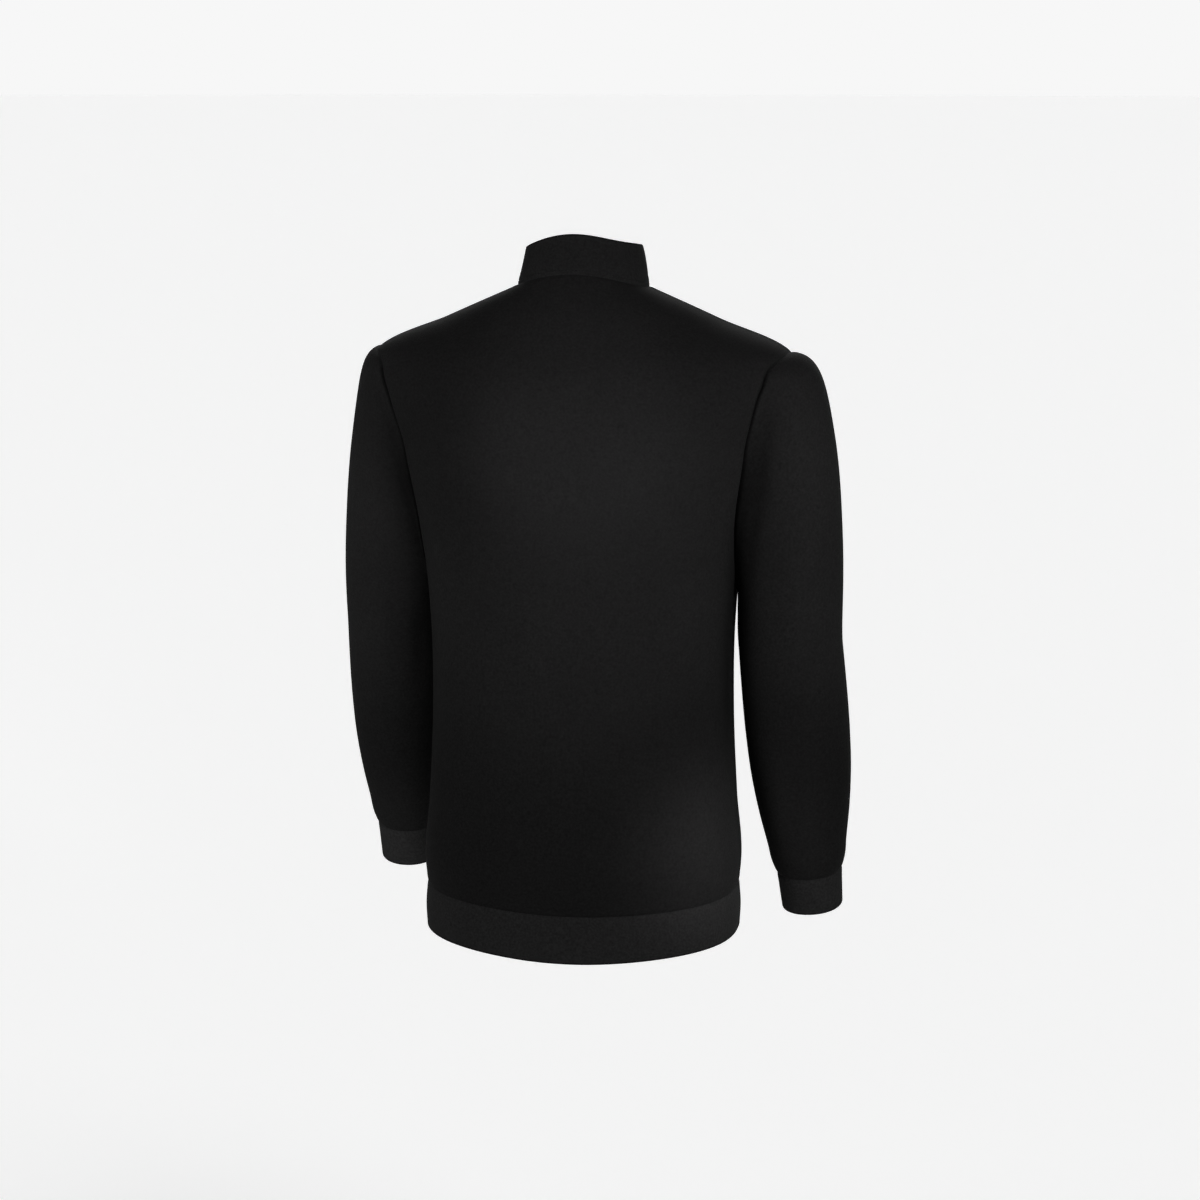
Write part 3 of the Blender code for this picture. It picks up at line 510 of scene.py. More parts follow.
def sink(piece):
    # presses the sewn valleys in and lifts the cloth over the seam allowance beside them
    points, normals = piece["points"], piece["normals"]
    away, shape = distances(points), points.shape[:2]
    total, rise, move = np.zeros(shape), np.zeros(shape), np.zeros_like(points)
    edge, deepEdge = np.ones(shape), np.ones(shape)
    for side, (depth, lean) in piece["seams"].items():
        level = side in ("bottom", "top")
        depth, lean = (depth[None], lean[None]) if level else (depth[:, None], lean[:, None])
        valley = hump(away[side], seamLook["width"]) * (depth > 0)
        total += valley
        move -= (valley * depth)[..., None] * lean
        share = np.minimum(depth / seamLook["fullPuff"], 1)
        puff = share * hump(away[side] - seamLook["puffAt"], seamLook["puffWidth"])
        rise = np.maximum(rise, puff)
        shallow = 4 * np.maximum(seamLook["depth"]["armhole"] - depth, 0)
        edge = np.minimum(edge, np.where(depth > 0, away[side], 1.0))
        deepEdge = np.minimum(deepEdge, np.where(depth > 0, away[side] + shallow, 1.0))
    piece["free"] = 1 - hump(edge, seamLook["rubbed"])
    # wear beside the seams; the same mask also carries the painted shade in them
    piece["seamWearAndShade"] = hump(deepEdge, seamLook["rubbed"])
    # painted shade in the dent under each row of stitches
    for side, distance, depth in piece.get("stitched", ()):
        beside = away[side] - distance
        rise -= depth / seamLook["puff"] * hump(beside, seamLook["stitchDent"])
        shade = depth / seamLook["stitchDent"] * hump(beside, seamLook["stitchShade"])
        piece["seamWearAndShade"] = np.maximum(piece["seamWearAndShade"], shade)
    piece["points"] = points + move / np.maximum(total, 1)[..., None]
    piece["points"] += (seamLook["puff"] * rise * (1 - np.minimum(total, 1)))[..., None] * normals


def foldLift(piece, folds, parts=12):
    # the folds fade out at their ends and towards the seams
    points = piece["points"]
    lift = np.zeros(points.shape[:2])
    t = np.linspace(0, 1, parts + 1)[:, None]
    for *bends, width, height in folds:
        a, b, c = np.array(bends) / 1000
        line = (1 - t) ** 2 * a + 2 * t * (1 - t) * b + t**2 * c
        best, at = np.full(lift.shape, 9.0), np.zeros(lift.shape)
        for k in range(parts):
            step = line[k + 1] - line[k]
            along = np.clip(((points - line[k]) @ step) / (step @ step), 0, 1)
            gap = np.linalg.norm(points - line[k] - along[..., None] * step, axis=2)
            at = np.where(gap < best, (k + along) / parts, at)
            best = np.minimum(best, gap)
        fade = 1 - seamLook["foldFade"] * (2 * at - 1) ** 2
        lift += height / 1000 * fade * hump(best, width / 1000)
    return (lift * piece["free"])[..., None] * piece["normals"]


def pullSeamsApart(piece, sides):
    points = piece["points"]
    before = points.copy()
    for side in sides:
        edge, inner = clothEdges[side]
        points[edge] += unit(before[inner] - before[edge]) * (seamLook["gap"] / 2)


def knitUv(points, fromMiddle):
    # metres along the cloth, so that the knit keeps its size
    away = distances(points)
    middle = slice(fromMiddle, fromMiddle + 1)
    u = away["first"] - away["first"][:, middle]
    return np.stack((u, away["bottom"][:, middle] + 0 * u), axis=-1)


def linkNew(name, mesh):
    piece = bpy.data.objects.new(name, mesh)
    bpy.context.scene.collection.objects.link(piece)
    return piece


def meshFrom(name, points, uv, masks, outward, closeRows=False, capEnds=False):
    # quads over a grid of points, facing outwards
    rows, columns = points.shape[:2]
    index = np.arange(rows * columns).reshape(rows, columns)
    if closeRows:
        index = np.vstack((index, index[:1]))
    corners = (index[:-1, :-1], index[:-1, 1:], index[1:, 1:], index[1:, :-1])
    faces = np.stack(corners, axis=-1).reshape(-1, 4)
    flat = points.reshape(-1, 3)
    a, b, c, d = (flat[faces[:, k]] for k in range(4))
    facing = np.cross(c - a, d - b)
    turned = np.sum(facing[: columns - 1] * outward[0, :-1]) < 0
    if turned:
        faces = faces[:, ::-1]
    if capEnds:
        low = np.arange(rows // 2 - 1)
        for column, flip in ((0, turned), (columns - 1, not turned)):
            ring = np.arange(rows) * columns + column
            corners = (ring[low], ring[low + 1], ring[rows - 2 - low], ring[rows - 1 - low])
            cap = np.stack(corners, axis=-1)
            faces = np.vstack((faces, cap[:, ::-1] if flip else cap))
    mesh = bpy.data.meshes.new(name)
    mesh.from_pydata(flat.tolist(), [], faces.tolist())
    layer = mesh.uv_layers.new(name="knit")
    layer.data.foreach_set("uv", uv.reshape(-1, 2)[faces.ravel()].ravel())
    for label, values in masks.items():
        layer = mesh.attributes.new(label, "FLOAT", "POINT")
        layer.data.foreach_set("value", values.ravel().astype(np.float32))
    return linkNew(name, mesh)


def weld(piece):
    work = bmesh.new()
    work.from_mesh(piece.data)
    bmesh.ops.remove_doubles(work, verts=work.verts, dist=1e-6)
    work.to_mesh(piece.data)
    work.free()


def alone(piece):
    bpy.ops.object.select_all(action="DESELECT")
    piece.select_set(True)
    bpy.context.view_layer.objects.active = piece


def smoothOff(piece, degrees=45):
    alone(piece)
    bpy.ops.object.shade_smooth_by_angle(angle=math.radians(degrees))


def singleLayer(name, piece, thickness, fromMiddle=0, joined=False):
    # a panel of knit with its wall behind it
    points, near = piece["points"], piece["seamWearAndShade"]
    masks = {"seamWearAndShade": near, "tucked": piece.get("tucked", np.zeros(near.shape))}
    made = meshFrom(name, points, knitUv(points, fromMiddle), masks, piece["normals"])
    if joined:
        weld(made)
    wall = made.modifiers.new("wall", "SOLIDIFY")
    wall.thickness = thickness
    wall.offset = -1
    alone(made)
    bpy.ops.object.modifier_apply(modifier="wall")
    smoothOff(made)
    return made


def foldedBand(name, piece, thickness, fromMiddle=0, joined=False):
    # doubled knit: outer layer, round the fold, and back up inside. Rows run from seam to fold.
    points, normals = piece["points"], piece["normals"]
    half = thickness / 2
    down = unit(points[-1] - points[-2])
    centre = points[-1] - half * normals[-1]
    bends = np.array([
        centre + half * (math.cos(a) * normals[-1] + math.sin(a) * down)
        for a in np.radians([25, 50, 75, 105, 130, 155])
    ])
    grid = np.concatenate((points, bends, (points - thickness * normals)[::-1]))
    # wear beside the band's fold, full on the fold itself, where it also gives painted shade
    near = np.maximum(piece["seamWearAndShade"], hump(distances(points)["top"], seamLook["foldRub"]))
    near = np.concatenate((near, np.ones(bends.shape[:2]), near[::-1]))
    masks = {"seamWearAndShade": near, "tucked": np.zeros(near.shape)}
    uv = knitUv(grid, fromMiddle)
    made = meshFrom(name, grid, uv, masks, normals, closeRows=True, capEnds=not joined)
    if joined:
        weld(made)
    smoothOff(made, 50)
    return made


def cutPieces():
    collarFold = 1 - standCollar["cloth"] / 2 / standCollar["height"]
    hemFold = 1 - hemBand["cloth"] / 2 / hemBand["height"]
    neckFront, neckBack = (
        (columns[neckColumn:] - shoulderShare) / (1 - shoulderShare)
        for columns in (frontColumns, halfBack)
    )
    neckBack = np.concatenate((neckBack / 2, 1 - neckBack[-2::-1] / 2))
    up, down = (
        shares(band["height"], jacketBody["bandPitch"]) for band in (standCollar, hemBand)
    )
    besideStitches = standCollar["stitchLine"] + np.array([-8, -4, 0, 4, 8]) / 10000
    up = np.sort(np.concatenate((up, besideStitches / standCollar["outerHeight"])))
    left = leftFrontPanel()
    cut = {
        "backPanel": backPanel(),
        "frontPanelLeft": left,
        "frontPanelRight": mirrored(left),
        "sleeveLeft": leftSleeve(armPose["Left"]),
        "sleeveRight": mirrored(leftSleeve(armPose["Right"])),
        "standCollar": bandRound(standCollar["rings"], up * collarFold, neckFront, neckBack),
        "hemBand": bandRound(hemBand["rings"], 1 - down * hemFold, frontColumns, backColumns),
        "cuffLeft": leftCuff(armPose["Left"]),
        "cuffRight": mirrored(leftCuff(armPose["Right"])),
    }
    points = cut["standCollar"]["points"]
    riseAt, riseWidth = standCollar["riseTurn"]
    aside = np.degrees(np.arctan2(points[..., 1], -points[..., 0])) - riseAt
    points[..., 2] += standCollar["rightRise"] * up[:, None] ** 2 * hump(aside, riseWidth)
    return cut


# the sides of each piece that end in a seam; the others have only the lower one
sewnSides = {
    "backPanel": ("bottom", "top", "first", "last"),
    "frontPanelLeft": ("bottom", "top", "first"), "frontPanelRight": ("bottom", "top", "first"),
    "sleeveLeft": ("bottom", "top"), "sleeveRight": ("bottom", "top"),
}


def sewJacket():
    cut = cutPieces()
    back, collar, hem = cut["backPanel"], cut["standCollar"], cut["hemBand"]
    count, half = len(upArmhole), len(frontColumns)
    below, onPanel, whole = slice(0, seamRows), slice(seamRows, len(rowShares)), slice(None)
    neckWidth = half - neckColumn
    tipDepth, tipTurn, growOver = seamLook["flatTip"]
    pressed = smoothStep((abs(sleeveTurns[:count]) - tipTurn) / growOver)
    pressed = tipDepth + (1 - tipDepth) * pressed
    backPlaces = np.arange(len(sleeveTurns) - 1, len(sleeveTurns) - 1 - count, -1)
    shoulder = np.arange(0, neckColumn + 1)
    for side in ("Left", "Right"):
        front, sleeve, cuff = (cut[name + side] for name in ("frontPanel", "sleeve", "cuff"))
        edge = "first" if side == "Left" else "last"
        seam("side", front, "first", below, back, edge, below)
        seam("armhole", front, "first", onPanel, sleeve, "bottom", slice(0, count), pressed)
        seam("armhole", back, edge, onPanel, sleeve, "bottom", backPlaces, pressed)
        onBack, onCollar = shoulder, np.arange(neckWidth - 1, -1, -1)
        onHem = np.arange(half - 1, -1, -1)
        if side == "Right":
            onBack = len(backColumns) - 1 - shoulder
            onCollar = len(collar["points"][0]) - 1 - onCollar
            onHem = len(hem["points"][0]) - 1 - onHem
        seam("shoulder", front, "top", shoulder, back, "top", onBack)
        seam("cuff", sleeve, "top", whole, cuff, "bottom", whole)
        seam("neck", front, "top", np.arange(neckColumn, half), collar, "bottom", onCollar)
        seam("hem", front, "bottom", whole, hem, "bottom", onHem)
        front["seams"]["last"][0][:] = seamLook["depth"]["zip"]
        front["stitched"] = [("last", jacketBody["zipStitches"], 0.0003)]
        for end in ("first", "last"):
            sleeve["seams"][end][0][:] = seamLook["depth"]["underarm"]
    backNeck = np.arange(neckColumn, len(backColumns) - neckColumn)
    seam("neck", back, "top", backNeck, collar, "bottom", backNeck - neckColumn + neckWidth - 1)
    seam("hem", back, "bottom", whole, hem, "bottom", np.arange(len(backColumns)) + half - 1)
    collar["stitched"] = [("bottom", standCollar["stitchLine"], seamLook["stitchDent"])]
    for name, piece in cut.items():
        pullSeamsApart(piece, sewnSides.get(name, ("bottom",)))
        sink(piece)
        piece["points"] += foldLift(piece, softFolds.get(name, ()))
    for side in ("Left", "Right"):
        tuck(cut["sleeve" + side], (back, cut["frontPanel" + side]))
    return cut


def tuck(sleeve, panels):
    # how close a sleeve lies to the body below its shoulder, for the shade between them
    body = np.concatenate([p["points"][::3, ::3].reshape(-1, 3) for p in panels])
    tree = kdtree.KDTree(len(body))
    for k, point in enumerate(body):
        tree.insert(point, k)
    tree.balance()
    points = sleeve["points"]
    away = np.array([tree.find(p)[2] for p in points.reshape(-1, 3)]).reshape(points.shape[:2])
    below = smoothStep((seamLook["tuckFrom"] - points[..., 2]) / seamLook["tuckFade"])
    sleeve["tucked"] = below * hump(away, seamLook["tuckReach"])


pieces = sewJacket()
jacket = {}
for name, piece in pieces.items():
    middle = 0 if name.startswith("front") else piece["points"].shape[1] // 2
    joined = name.startswith(("sleeve", "cuff"))
    if name in ("standCollar", "hemBand", "cuffLeft", "cuffRight"):
        jacket[name] = foldedBand(name, piece, hemBand["cloth"], middle, joined)
    else:
        jacket[name] = singleLayer(name, piece, jacketBody["cloth"], middle, joined)
print("cloth sewn:", sum(len(piece.data.polygons) for piece in jacket.values()), "faces")


# the zip, straight down the middle of the front
zipParts = {
    "tapeEdges": (0.0005, 0.0130),  # from the middle, the inner one under the teeth
    "tapeCloth": 0.0010,
    # height, and how far the tapes lie behind the cloth's outside: deeper behind the bands
    "tapeDepth": ((-0.626, 0.0030), (-0.603, 0.0022), (-0.075, 0.0022), (-0.050, 0.0034)),
    "toothPitch": 0.0030,  # on one side
    "toothSize": (0.0036, 0.0025, 0.00145),  # across, deep and high
    "toothForward": 0.0007,  # of the tapes' depth
    "boxSize": (0.0054, 0.0040, 0.010),
    "sliderTop": -0.006,
    "sliderLength": 0.014,
    "sliderWidth": 0.0090,
    "plates": ((-0.0712, 0.0016), (-0.0645, 0.0014)),  # y and thickness, the front one first
    "flangeSize": (0.0009, 0.0017, 0.01008),
    "wedgeSize": (0.0040, 0.0068, 0.006),
    "crownSize": (0.0030, 0.0012, 0.0060),
    "pullArmSize": (0.0012, 0.0014, 0.0094),
    "pullBar": (0.0008, 0.0062),  # radius and length
    "pullAxis": (0.0, -0.0734, -0.012),
    "pullWidth": 0.0070,
    "pullLength": 0.023,
}


def zipSurface(x):
    # points and outward directions up the front, x to the left of the middle
    runs = ((hemBand, 14), (jacketBody, 151), (standCollar, 14))
    points, normals = [], []
    for part, count in runs:
        levels = np.linspace(0, 1, count)
        angle = frontAngle(part["rings"], levels, abs(x))
        points.append(ringPoint(part["rings"], angle, levels))
        normals.append(ringNormal(part["rings"], angle, levels))
    for k in (1, 2):  # one row where two rings meet
        normals[k - 1][-1] = unit(normals[k - 1][-1] + normals[k][0])
        points[k], normals[k] = points[k][1:], normals[k][1:]
    side = np.array([1.0 if x >= 0 else -1.0, 1.0, 1.0])
    points, normals = np.concatenate(points) * side, np.concatenate(normals) * side
    smooth = normals.copy()
    smooth[3:-3] = sum(normals[3 + k:len(normals) - 3 + k] for k in range(-3, 4))
    return points, unit(smooth)


def tapeDepth(z):
    return np.interp(z, *zip(*zipParts["tapeDepth"]))


def zipTape(name, sign):
    low, high = zipParts["tapeEdges"]
    across = low + (high - low) * np.array([0, 0.04, 0.1, 0.3, 0.55, 0.8, 0.94, 1.0])
    points, normals = (np.stack(v, axis=1) for v in zip(*(zipSurface(sign * x) for x in across)))
    piece = cloth(points - tapeDepth(points[..., 2])[..., None] * normals, normals)
    piece["seamWearAndShade"] = np.zeros(points.shape[:2])
    return singleLayer(name, piece, zipParts["tapeCloth"])


def placeRepeats(name, source, frames):
    # one mesh of copies of a small shape, each in its own frame of three directions and a place
    verts = np.array([v.co for v in source.data.vertices])
    faces = [tuple(p.vertices) for p in source.data.polygons]
    allVerts, allFaces = [], []
    for k, (directions, place) in enumerate(frames):
        allVerts.append(verts @ directions + place)
        allFaces += [tuple(v + k * len(verts) for v in face) for face in faces]
    joined = bpy.data.meshes.new(name)
    joined.from_pydata(np.concatenate(allVerts).tolist(), [], allFaces)
    piece = linkNew(name, joined)
    bpy.data.objects.remove(source)
    smoothOff(piece, 30)
    return piece


def applyShape():
    bpy.ops.object.transform_apply(location=True, rotation=True, scale=True)
    return bpy.context.object


def block(name, size, place=(0, 0, 0)):
    bpy.ops.object.select_all(action="DESELECT")
    bpy.ops.mesh.primitive_cube_add(size=1, location=place)
    piece = bpy.context.object
    piece.name = piece.data.name = name
    piece.scale = size
    return applyShape()


def rod(radius, length, sides, place=(0, 0, 0)):
    # lies along X
    bpy.ops.object.select_all(action="DESELECT")
    bpy.ops.mesh.primitive_cylinder_add(
        vertices=sides, radius=radius, depth=length, location=place, rotation=(0, math.pi / 2, 0)
    )
    return applyShape()


def pick(piece, faces=None, edges=None):
    # edit mode with the faces or edges selected for which the test is true
    alone(piece)
    bpy.ops.object.mode_set(mode="EDIT")
    bpy.ops.mesh.select_mode(type="FACE" if faces else "EDGE")
    bpy.ops.mesh.select_all(action="DESELECT")
    work = bmesh.from_edit_mesh(piece.data)
    for item in work.faces if faces else work.edges:
        item.select_set(bool((faces or edges)(item)))
    bmesh.update_edit_mesh(piece.data)


def leave():
    bpy.ops.object.mode_set(mode="OBJECT")


def extrude(x=0, y=0, z=0):
    bpy.ops.mesh.extrude_region_move(TRANSFORM_OT_translate={"value": (x, y, z)})


def bevelEdges(piece, width, segments, edges):
    pick(piece, edges=edges)
    bpy.ops.mesh.bevel(offset=width, segments=segments, affect="EDGES")
    leave()


def softenAll(piece, width, segments=2):
    bevel = piece.modifiers.new("softEdges", "BEVEL")
    bevel.width, bevel.segments = width, segments
    bevel.limit_method = "ANGLE"
    bevel.angle_limit = math.radians(35)
    alone(piece)
    bpy.ops.object.modifier_apply(modifier="softEdges")
    return piece


def joinInto(piece, others):
    alone(piece)
    for other in others:
        other.select_set(True)
    bpy.ops.object.join()
    smoothOff(piece, 35)
    return piece


def alongY(edge):
    step = edge.verts[0].co - edge.verts[1].co
    return abs(step.y) > 0.9 * step.length


def facesDown(face):
    return face.normal.z < -0.9


def facesFront(face):
    return face.normal.y < -0.9


def toothShape():
    # one moulded tooth: foot over the tape's cord, neck, and a head that locks with the others
    across, deep, high = zipParts["toothSize"]
    tooth = block("zipTooth", (across * 0.45, deep, high), (across * 0.27, 0, 0))
    pick(tooth, faces=lambda f: f.normal.x < -0.9)
    for scale in ((1, 0.72, 0.74), (1, 1.1, 1.3)):
        extrude(x=-across * 0.2)
        bpy.ops.transform.resize(value=scale)
    leave()
    bevelEdges(tooth, 0.00022, 1, lambda e: e.calc_face_angle(0) > 1.0)
    return tooth


def zipTeeth():
    points, normals = zipSurface(0.0)
    length = lengthAlong(points)
    foot = hemBand["rings"][0][3] + zipParts["boxSize"][2] + 0.001
    start, end = np.interp((foot, zipParts["sliderTop"] - 0.0085), points[:, 2], length)
    up = unit(np.gradient(points, axis=0))
    step = zipParts["toothPitch"] / 2
    frames = []
    for k in range(int((end - start) / step)):
        place, out, rise = (columnsAt(start + k * step, length, v) for v in (points, normals, up))
        out, rise = unit(out), unit(rise)
        across = np.array([1.0 if k % 2 else -1.0, 0.0, 0.0])
        depth = tapeDepth(place[2]) - zipParts["toothForward"]
        frames.append((np.array([across, -out, rise]), place - depth * out))
    return placeRepeats("zipTeeth", toothShape(), frames)


def zipBoxPiece():
    # moulded foot of the zip, with a shallow panel
    lowest, middle = hemBand["rings"][:2]
    width, deep, height = zipParts["boxSize"]
    lean = (middle[6] - lowest[6]) / 0.024
    y = -lowest[6] - lean * height / 2
    box = block("zipBox", (width, deep, height), (0, y + 0.0014, lowest[3] + height / 2))
    pick(box, faces=facesFront)
    bpy.ops.mesh.inset(thickness=0.0008, depth=0)
    bpy.ops.mesh.inset(thickness=0.0002, depth=-0.0003)
    leave()
    bevelEdges(box, 0.0006, 3, lambda e: alongY(e) and abs(e.verts[0].co.x) > 0.0026)
    softenAll(box, 0.0002)
    smoothOff(box, 35)
    return box


def zipSliderPiece():
    # front and back plate on a wedge, side flanges, and the crown over the pull's bar
    top, length, width = (zipParts[k] for k in ("sliderTop", "sliderLength", "sliderWidth"))
    middle, axisZ = top - length / 2, zipParts["pullAxis"][2]
    parts = []
    for number, (y, deep) in enumerate(zipParts["plates"]):
        plate = block("zipPlate", (width, deep, length), (0, y, middle))
        pick(plate, faces=facesDown)
        bpy.ops.transform.resize(value=(0.75, 1, 1))
        leave()
        bevelEdges(plate, 0.0017, 4, alongY)
        if number == 0:  # the front plate's face is crowned
            pick(plate, faces=facesFront)
            bpy.ops.mesh.inset(thickness=0.0009, depth=0.00022)
            leave()
        parts.append(softenAll(plate, 0.0003))
    for side in (-1, 1):
        place = (side * width * 0.43, -0.0698, middle + 0.0005)
        flange = block("zipFlange", zipParts["flangeSize"], place)
        pick(flange, faces=facesDown)
        bpy.ops.transform.translate(value=(-side * 0.0009, 0, 0))
        leave()
        parts.append(softenAll(flange, 0.0003))
    wedge = block("zipWedge", zipParts["wedgeSize"], (0, -0.0678, top - 0.003))
    pick(wedge, faces=facesDown)
    bpy.ops.transform.resize(value=(0.5, 1, 1))
    leave()
    parts.append(softenAll(wedge, 0.0003))
    crown = block("zipCrown", zipParts["crownSize"], (0, -0.0754, axisZ))
    pick(crown, edges=lambda e: abs(e.verts[0].co.z - e.verts[1].co.z) > 0.005)
    bpy.ops.mesh.subdivide(number_cuts=3)
    leave()
    for end in (-1, 1):
        pick(crown, faces=lambda f: (
            f.normal.y > 0.9 and end * (f.calc_center_median().z - axisZ) > 0.0014
        ))
        extrude(y=0.0036)
        leave()
    parts.append(softenAll(crown, 0.00045, 3))
    slider = joinInto(parts[0], parts[1:])
    slider.name = slider.data.name = "zipSlider"
    return slider


def pullTabPiece():
    # a plain tab on a wire eye, with a shallow panel on both faces
    x, y, z = zipParts["pullAxis"]
    width, length = zipParts["pullWidth"], zipParts["pullLength"]
    tab = block("pullTab", (width, 0.0014, length), (x, y, z - 0.007 - length / 2))
    bevelEdges(tab, 0.0024, 6, alongY)
    pick(tab, faces=lambda f: abs(f.normal.y) > 0.9)
    bpy.ops.mesh.inset(thickness=0.0011, depth=0)
    bpy.ops.mesh.inset(thickness=0.00025, depth=-0.00025)
    leave()
    softenAll(tab, 0.0002)
    parts = [softenAll(rod(*zipParts["pullBar"], 24, (x, y, z)), 0.0002)]
    for side in (-1, 1):
        arm = block("pullArm", zipParts["pullArmSize"], (side * 0.0025, y, z - 0.0047))
        parts.append(softenAll(arm, 0.0003))
    return joinInto(tab, parts)


jacket["zipTapeLeft"] = zipTape("zipTapeLeft", 1)
jacket["zipTapeRight"] = zipTape("zipTapeRight", -1)
jacket["zipTeeth"] = zipTeeth()
jacket["zipBox"] = zipBoxPiece()
jacket["zipSlider"] = zipSliderPiece()
jacket["pullTab"] = pullTabPiece()
print("zip made:", len(jacket["zipTeeth"].data.polygons), "faces of teeth")


# short lengths of thread in rows
stitching = {"length": 0.0024, "gap": 0.0011, "radius": 0.00020, "sunk": 0.00007, "end": 0.003}


def threadShape():
    thread = rod(1.0, 0.6, 6)
    for end in (-1, 1):
        pick(thread, faces=lambda f: f.normal.x * end > 0.9)
        extrude(x=end * 0.2)
        bpy.ops.transform.resize(value=(1, 0.4, 0.4))
        bpy.ops.transform.translate(value=(0, 0, -0.5))
        leave()
    return thread


def lineAlong(piece, side, distance):
    # points and normals on the finished cloth at a distance from one of its edges
    away = distances(piece["points"])[side]
    both = np.concatenate((piece["points"], piece["normals"]), axis=2)
    if side in ("bottom", "top"):
        away, both = away.T, both.transpose(1, 0, 2)
    rows = []
    for d, line in zip(away, both):
        order = np.argsort(d)
        rows.append(columnsAt(distance, d[order], line[order]))
    rows = np.array(rows)
    return rows[:, :3], unit(rows[:, 3:])


def stitchFrames(piece, side, distance):
    points, normals = lineAlong(pieces[piece], side, distance)
    length = lengthAlong(points)
    long, radius = stitching["length"], stitching["radius"]
    step = long + stitching["gap"]
    frames = []
    for k in range(int((length[-1] - 2 * stitching["end"]) / step)):
        s = stitching["end"] + step * (k + 0.5)
        start, end = columnsAt(np.array([s - long / 2, s + long / 2]), length, points)
        out, along = unit(columnsAt(s, length, normals)), end - start
        across = unit(np.cross(out, unit(along)))
        directions = np.array([along, across * radius, out * radius * 0.8])
        frames.append((directions, (start + end) / 2 - out * stitching["sunk"]))
    return frames


zipRow = jacketBody["zipStitches"]
besideZip = [("frontPanelLeft", "last"), ("frontPanelRight", "last")] + [
    (name, side) for name in ("hemBand", "standCollar") for side in ("first", "last")
]
stitchRows = {
    "collarStitches": stitchFrames("standCollar", "bottom", standCollar["stitchLine"]),
    "zipStitches": sum((stitchFrames(name, side, zipRow) for name, side in besideZip), []),
}
for name, frames in stitchRows.items():
    jacket[name] = placeRepeats(name, threadShape(), frames)
print("stitching sewn:", sum(map(len, stitchRows.values())), "stitches")


# finishes: each value of a node is either another node's output or a plain value
def feed(tree, node, values):
    for key, value in values.items():
        if isinstance(value, bpy.types.NodeSocket):
            tree.links.new(value, node.inputs[key])
        else:
            node.inputs[key].default_value = value


def addNode(tree, kind, values=None, output=0, **settings):
    node = tree.nodes.new("ShaderNode" + kind)
    across, down = divmod(len(tree.nodes), 5)
    node.location = (220 * across - 1500, 600 - 260 * down)
    for key, value in settings.items():
        setattr(node, key, value)
    feed(tree, node, values or {})
    return node.outputs[output] if node.outputs else None


def mathNode(tree, operation, *values):
    return addNode(tree, "Math", dict(enumerate(values)), operation=operation)


def newGroup(name, inputs, outputs):
    group = bpy.data.node_groups.new(name, "ShaderNodeTree")
    for label, value in inputs.items():
        kind = "NodeSocketVector" if value is None else "NodeSocketFloat"
        socket = group.interface.new_socket(label, in_out="INPUT", socket_type=kind)
        if value is not None:
            socket.default_value = value
    for label in outputs:
        group.interface.new_socket(label, in_out="OUTPUT", socket_type="NodeSocketFloat")
    start, end = group.nodes.new("NodeGroupInput"), group.nodes.new("NodeGroupOutput")
    start.location, end.location = (-1800, 0), (1200, 0)
    return group, start.outputs, end


def knitLoops():
    # double knit: upright wales of small slanted loops, from the piece's own UV map in metres
    inputs = {"Cloth": None, "Wales": 1000.0, "Courses": 1150.0, "Slant": 0.7}
    group, given, end = newGroup("knitLoops", inputs, ("Height", "Shade"))
    across = addNode(group, "SeparateXYZ", {0: given["Cloth"]})
    along = across.node.outputs[1]
    inWale = mathNode(group, "FRACT", mathNode(group, "MULTIPLY", across, given["Wales"]))
    side = mathNode(group, "SUBTRACT", inWale, 0.5)
    slant = mathNode(group, "MULTIPLY", mathNode(group, "ABSOLUTE", side), given["Slant"])
    course = mathNode(group, "MULTIPLY", along, given["Courses"])
    shifted = mathNode(group, "ADD", course, slant)
    wave = mathNode(group, "COSINE", mathNode(group, "MULTIPLY", shifted, 2 * math.pi))
    ridge = mathNode(group, "COSINE", mathNode(group, "MULTIPLY", side, math.pi))
    loop = mathNode(group, "MULTIPLY_ADD", wave, 0.22, 0.78)
    height = mathNode(group, "MULTIPLY", ridge, loop)
    shade = mathNode(group, "MULTIPLY_ADD", height, 0.5, 0.5)
    feed(group, end, {"Height": height, "Shade": shade})
    return group


def softMottle():
    # slow unevenness of dye and pile, and fine fuzz, on object coordinates
    inputs = {"Slow scale": 9.0, "Fine scale": 900.0}
    group, given, end = newGroup("softMottle", inputs, ("Slow", "Fuzz"))
    where = addNode(group, "TexCoord", output="Object")
    for label, scale, detail in (("Slow", "Slow scale", 3.0), ("Fuzz", "Fine scale", 2.0)):
        values = {"Vector": where, "Scale": given[scale], "Detail": detail}
        feed(group, end, {label: addNode(group, "TexNoise", values, "Fac")})
    return group


loopsGroup, mottleGroup = knitLoops(), softMottle()


def newFinish(name):
    finish = bpy.data.materials.new(name)
    finish.use_nodes = True
    return finish, finish.node_tree, finish.node_tree.nodes["Principled BSDF"]


def placeLoops(tree, **values):
    # the knit's shade and height
    cloth = addNode(tree, "UVMap", uv_map="knit")
    shade = addNode(tree, "Group", {"Cloth": cloth, **values}, "Shade", node_tree=loopsGroup)
    return shade, shade.node.outputs["Height"]


def placeMottle(tree, slowScale=9.0, fineScale=900.0):
    # the slow unevenness and the fine fuzz
    scales = {"Slow scale": slowScale, "Fine scale": fineScale}
    slow = addNode(tree, "Group", scales, "Slow", node_tree=mottleGroup)
    return slow, slow.node.outputs["Fuzz"]


def between(tree, share, low, high):
    # a colour between two, by a share from 0 to 1
    low = low if isinstance(low, bpy.types.NodeSocket) else (*low, 1)
    values = {"Factor": share, "A": low, "B": (*high, 1)}
    return addNode(tree, "Mix", values, "Result", data_type="RGBA")


def lifted(tree, share, low, high):
    return addNode(tree, "MapRange", {"Value": share, "To Min": low, "To Max": high})


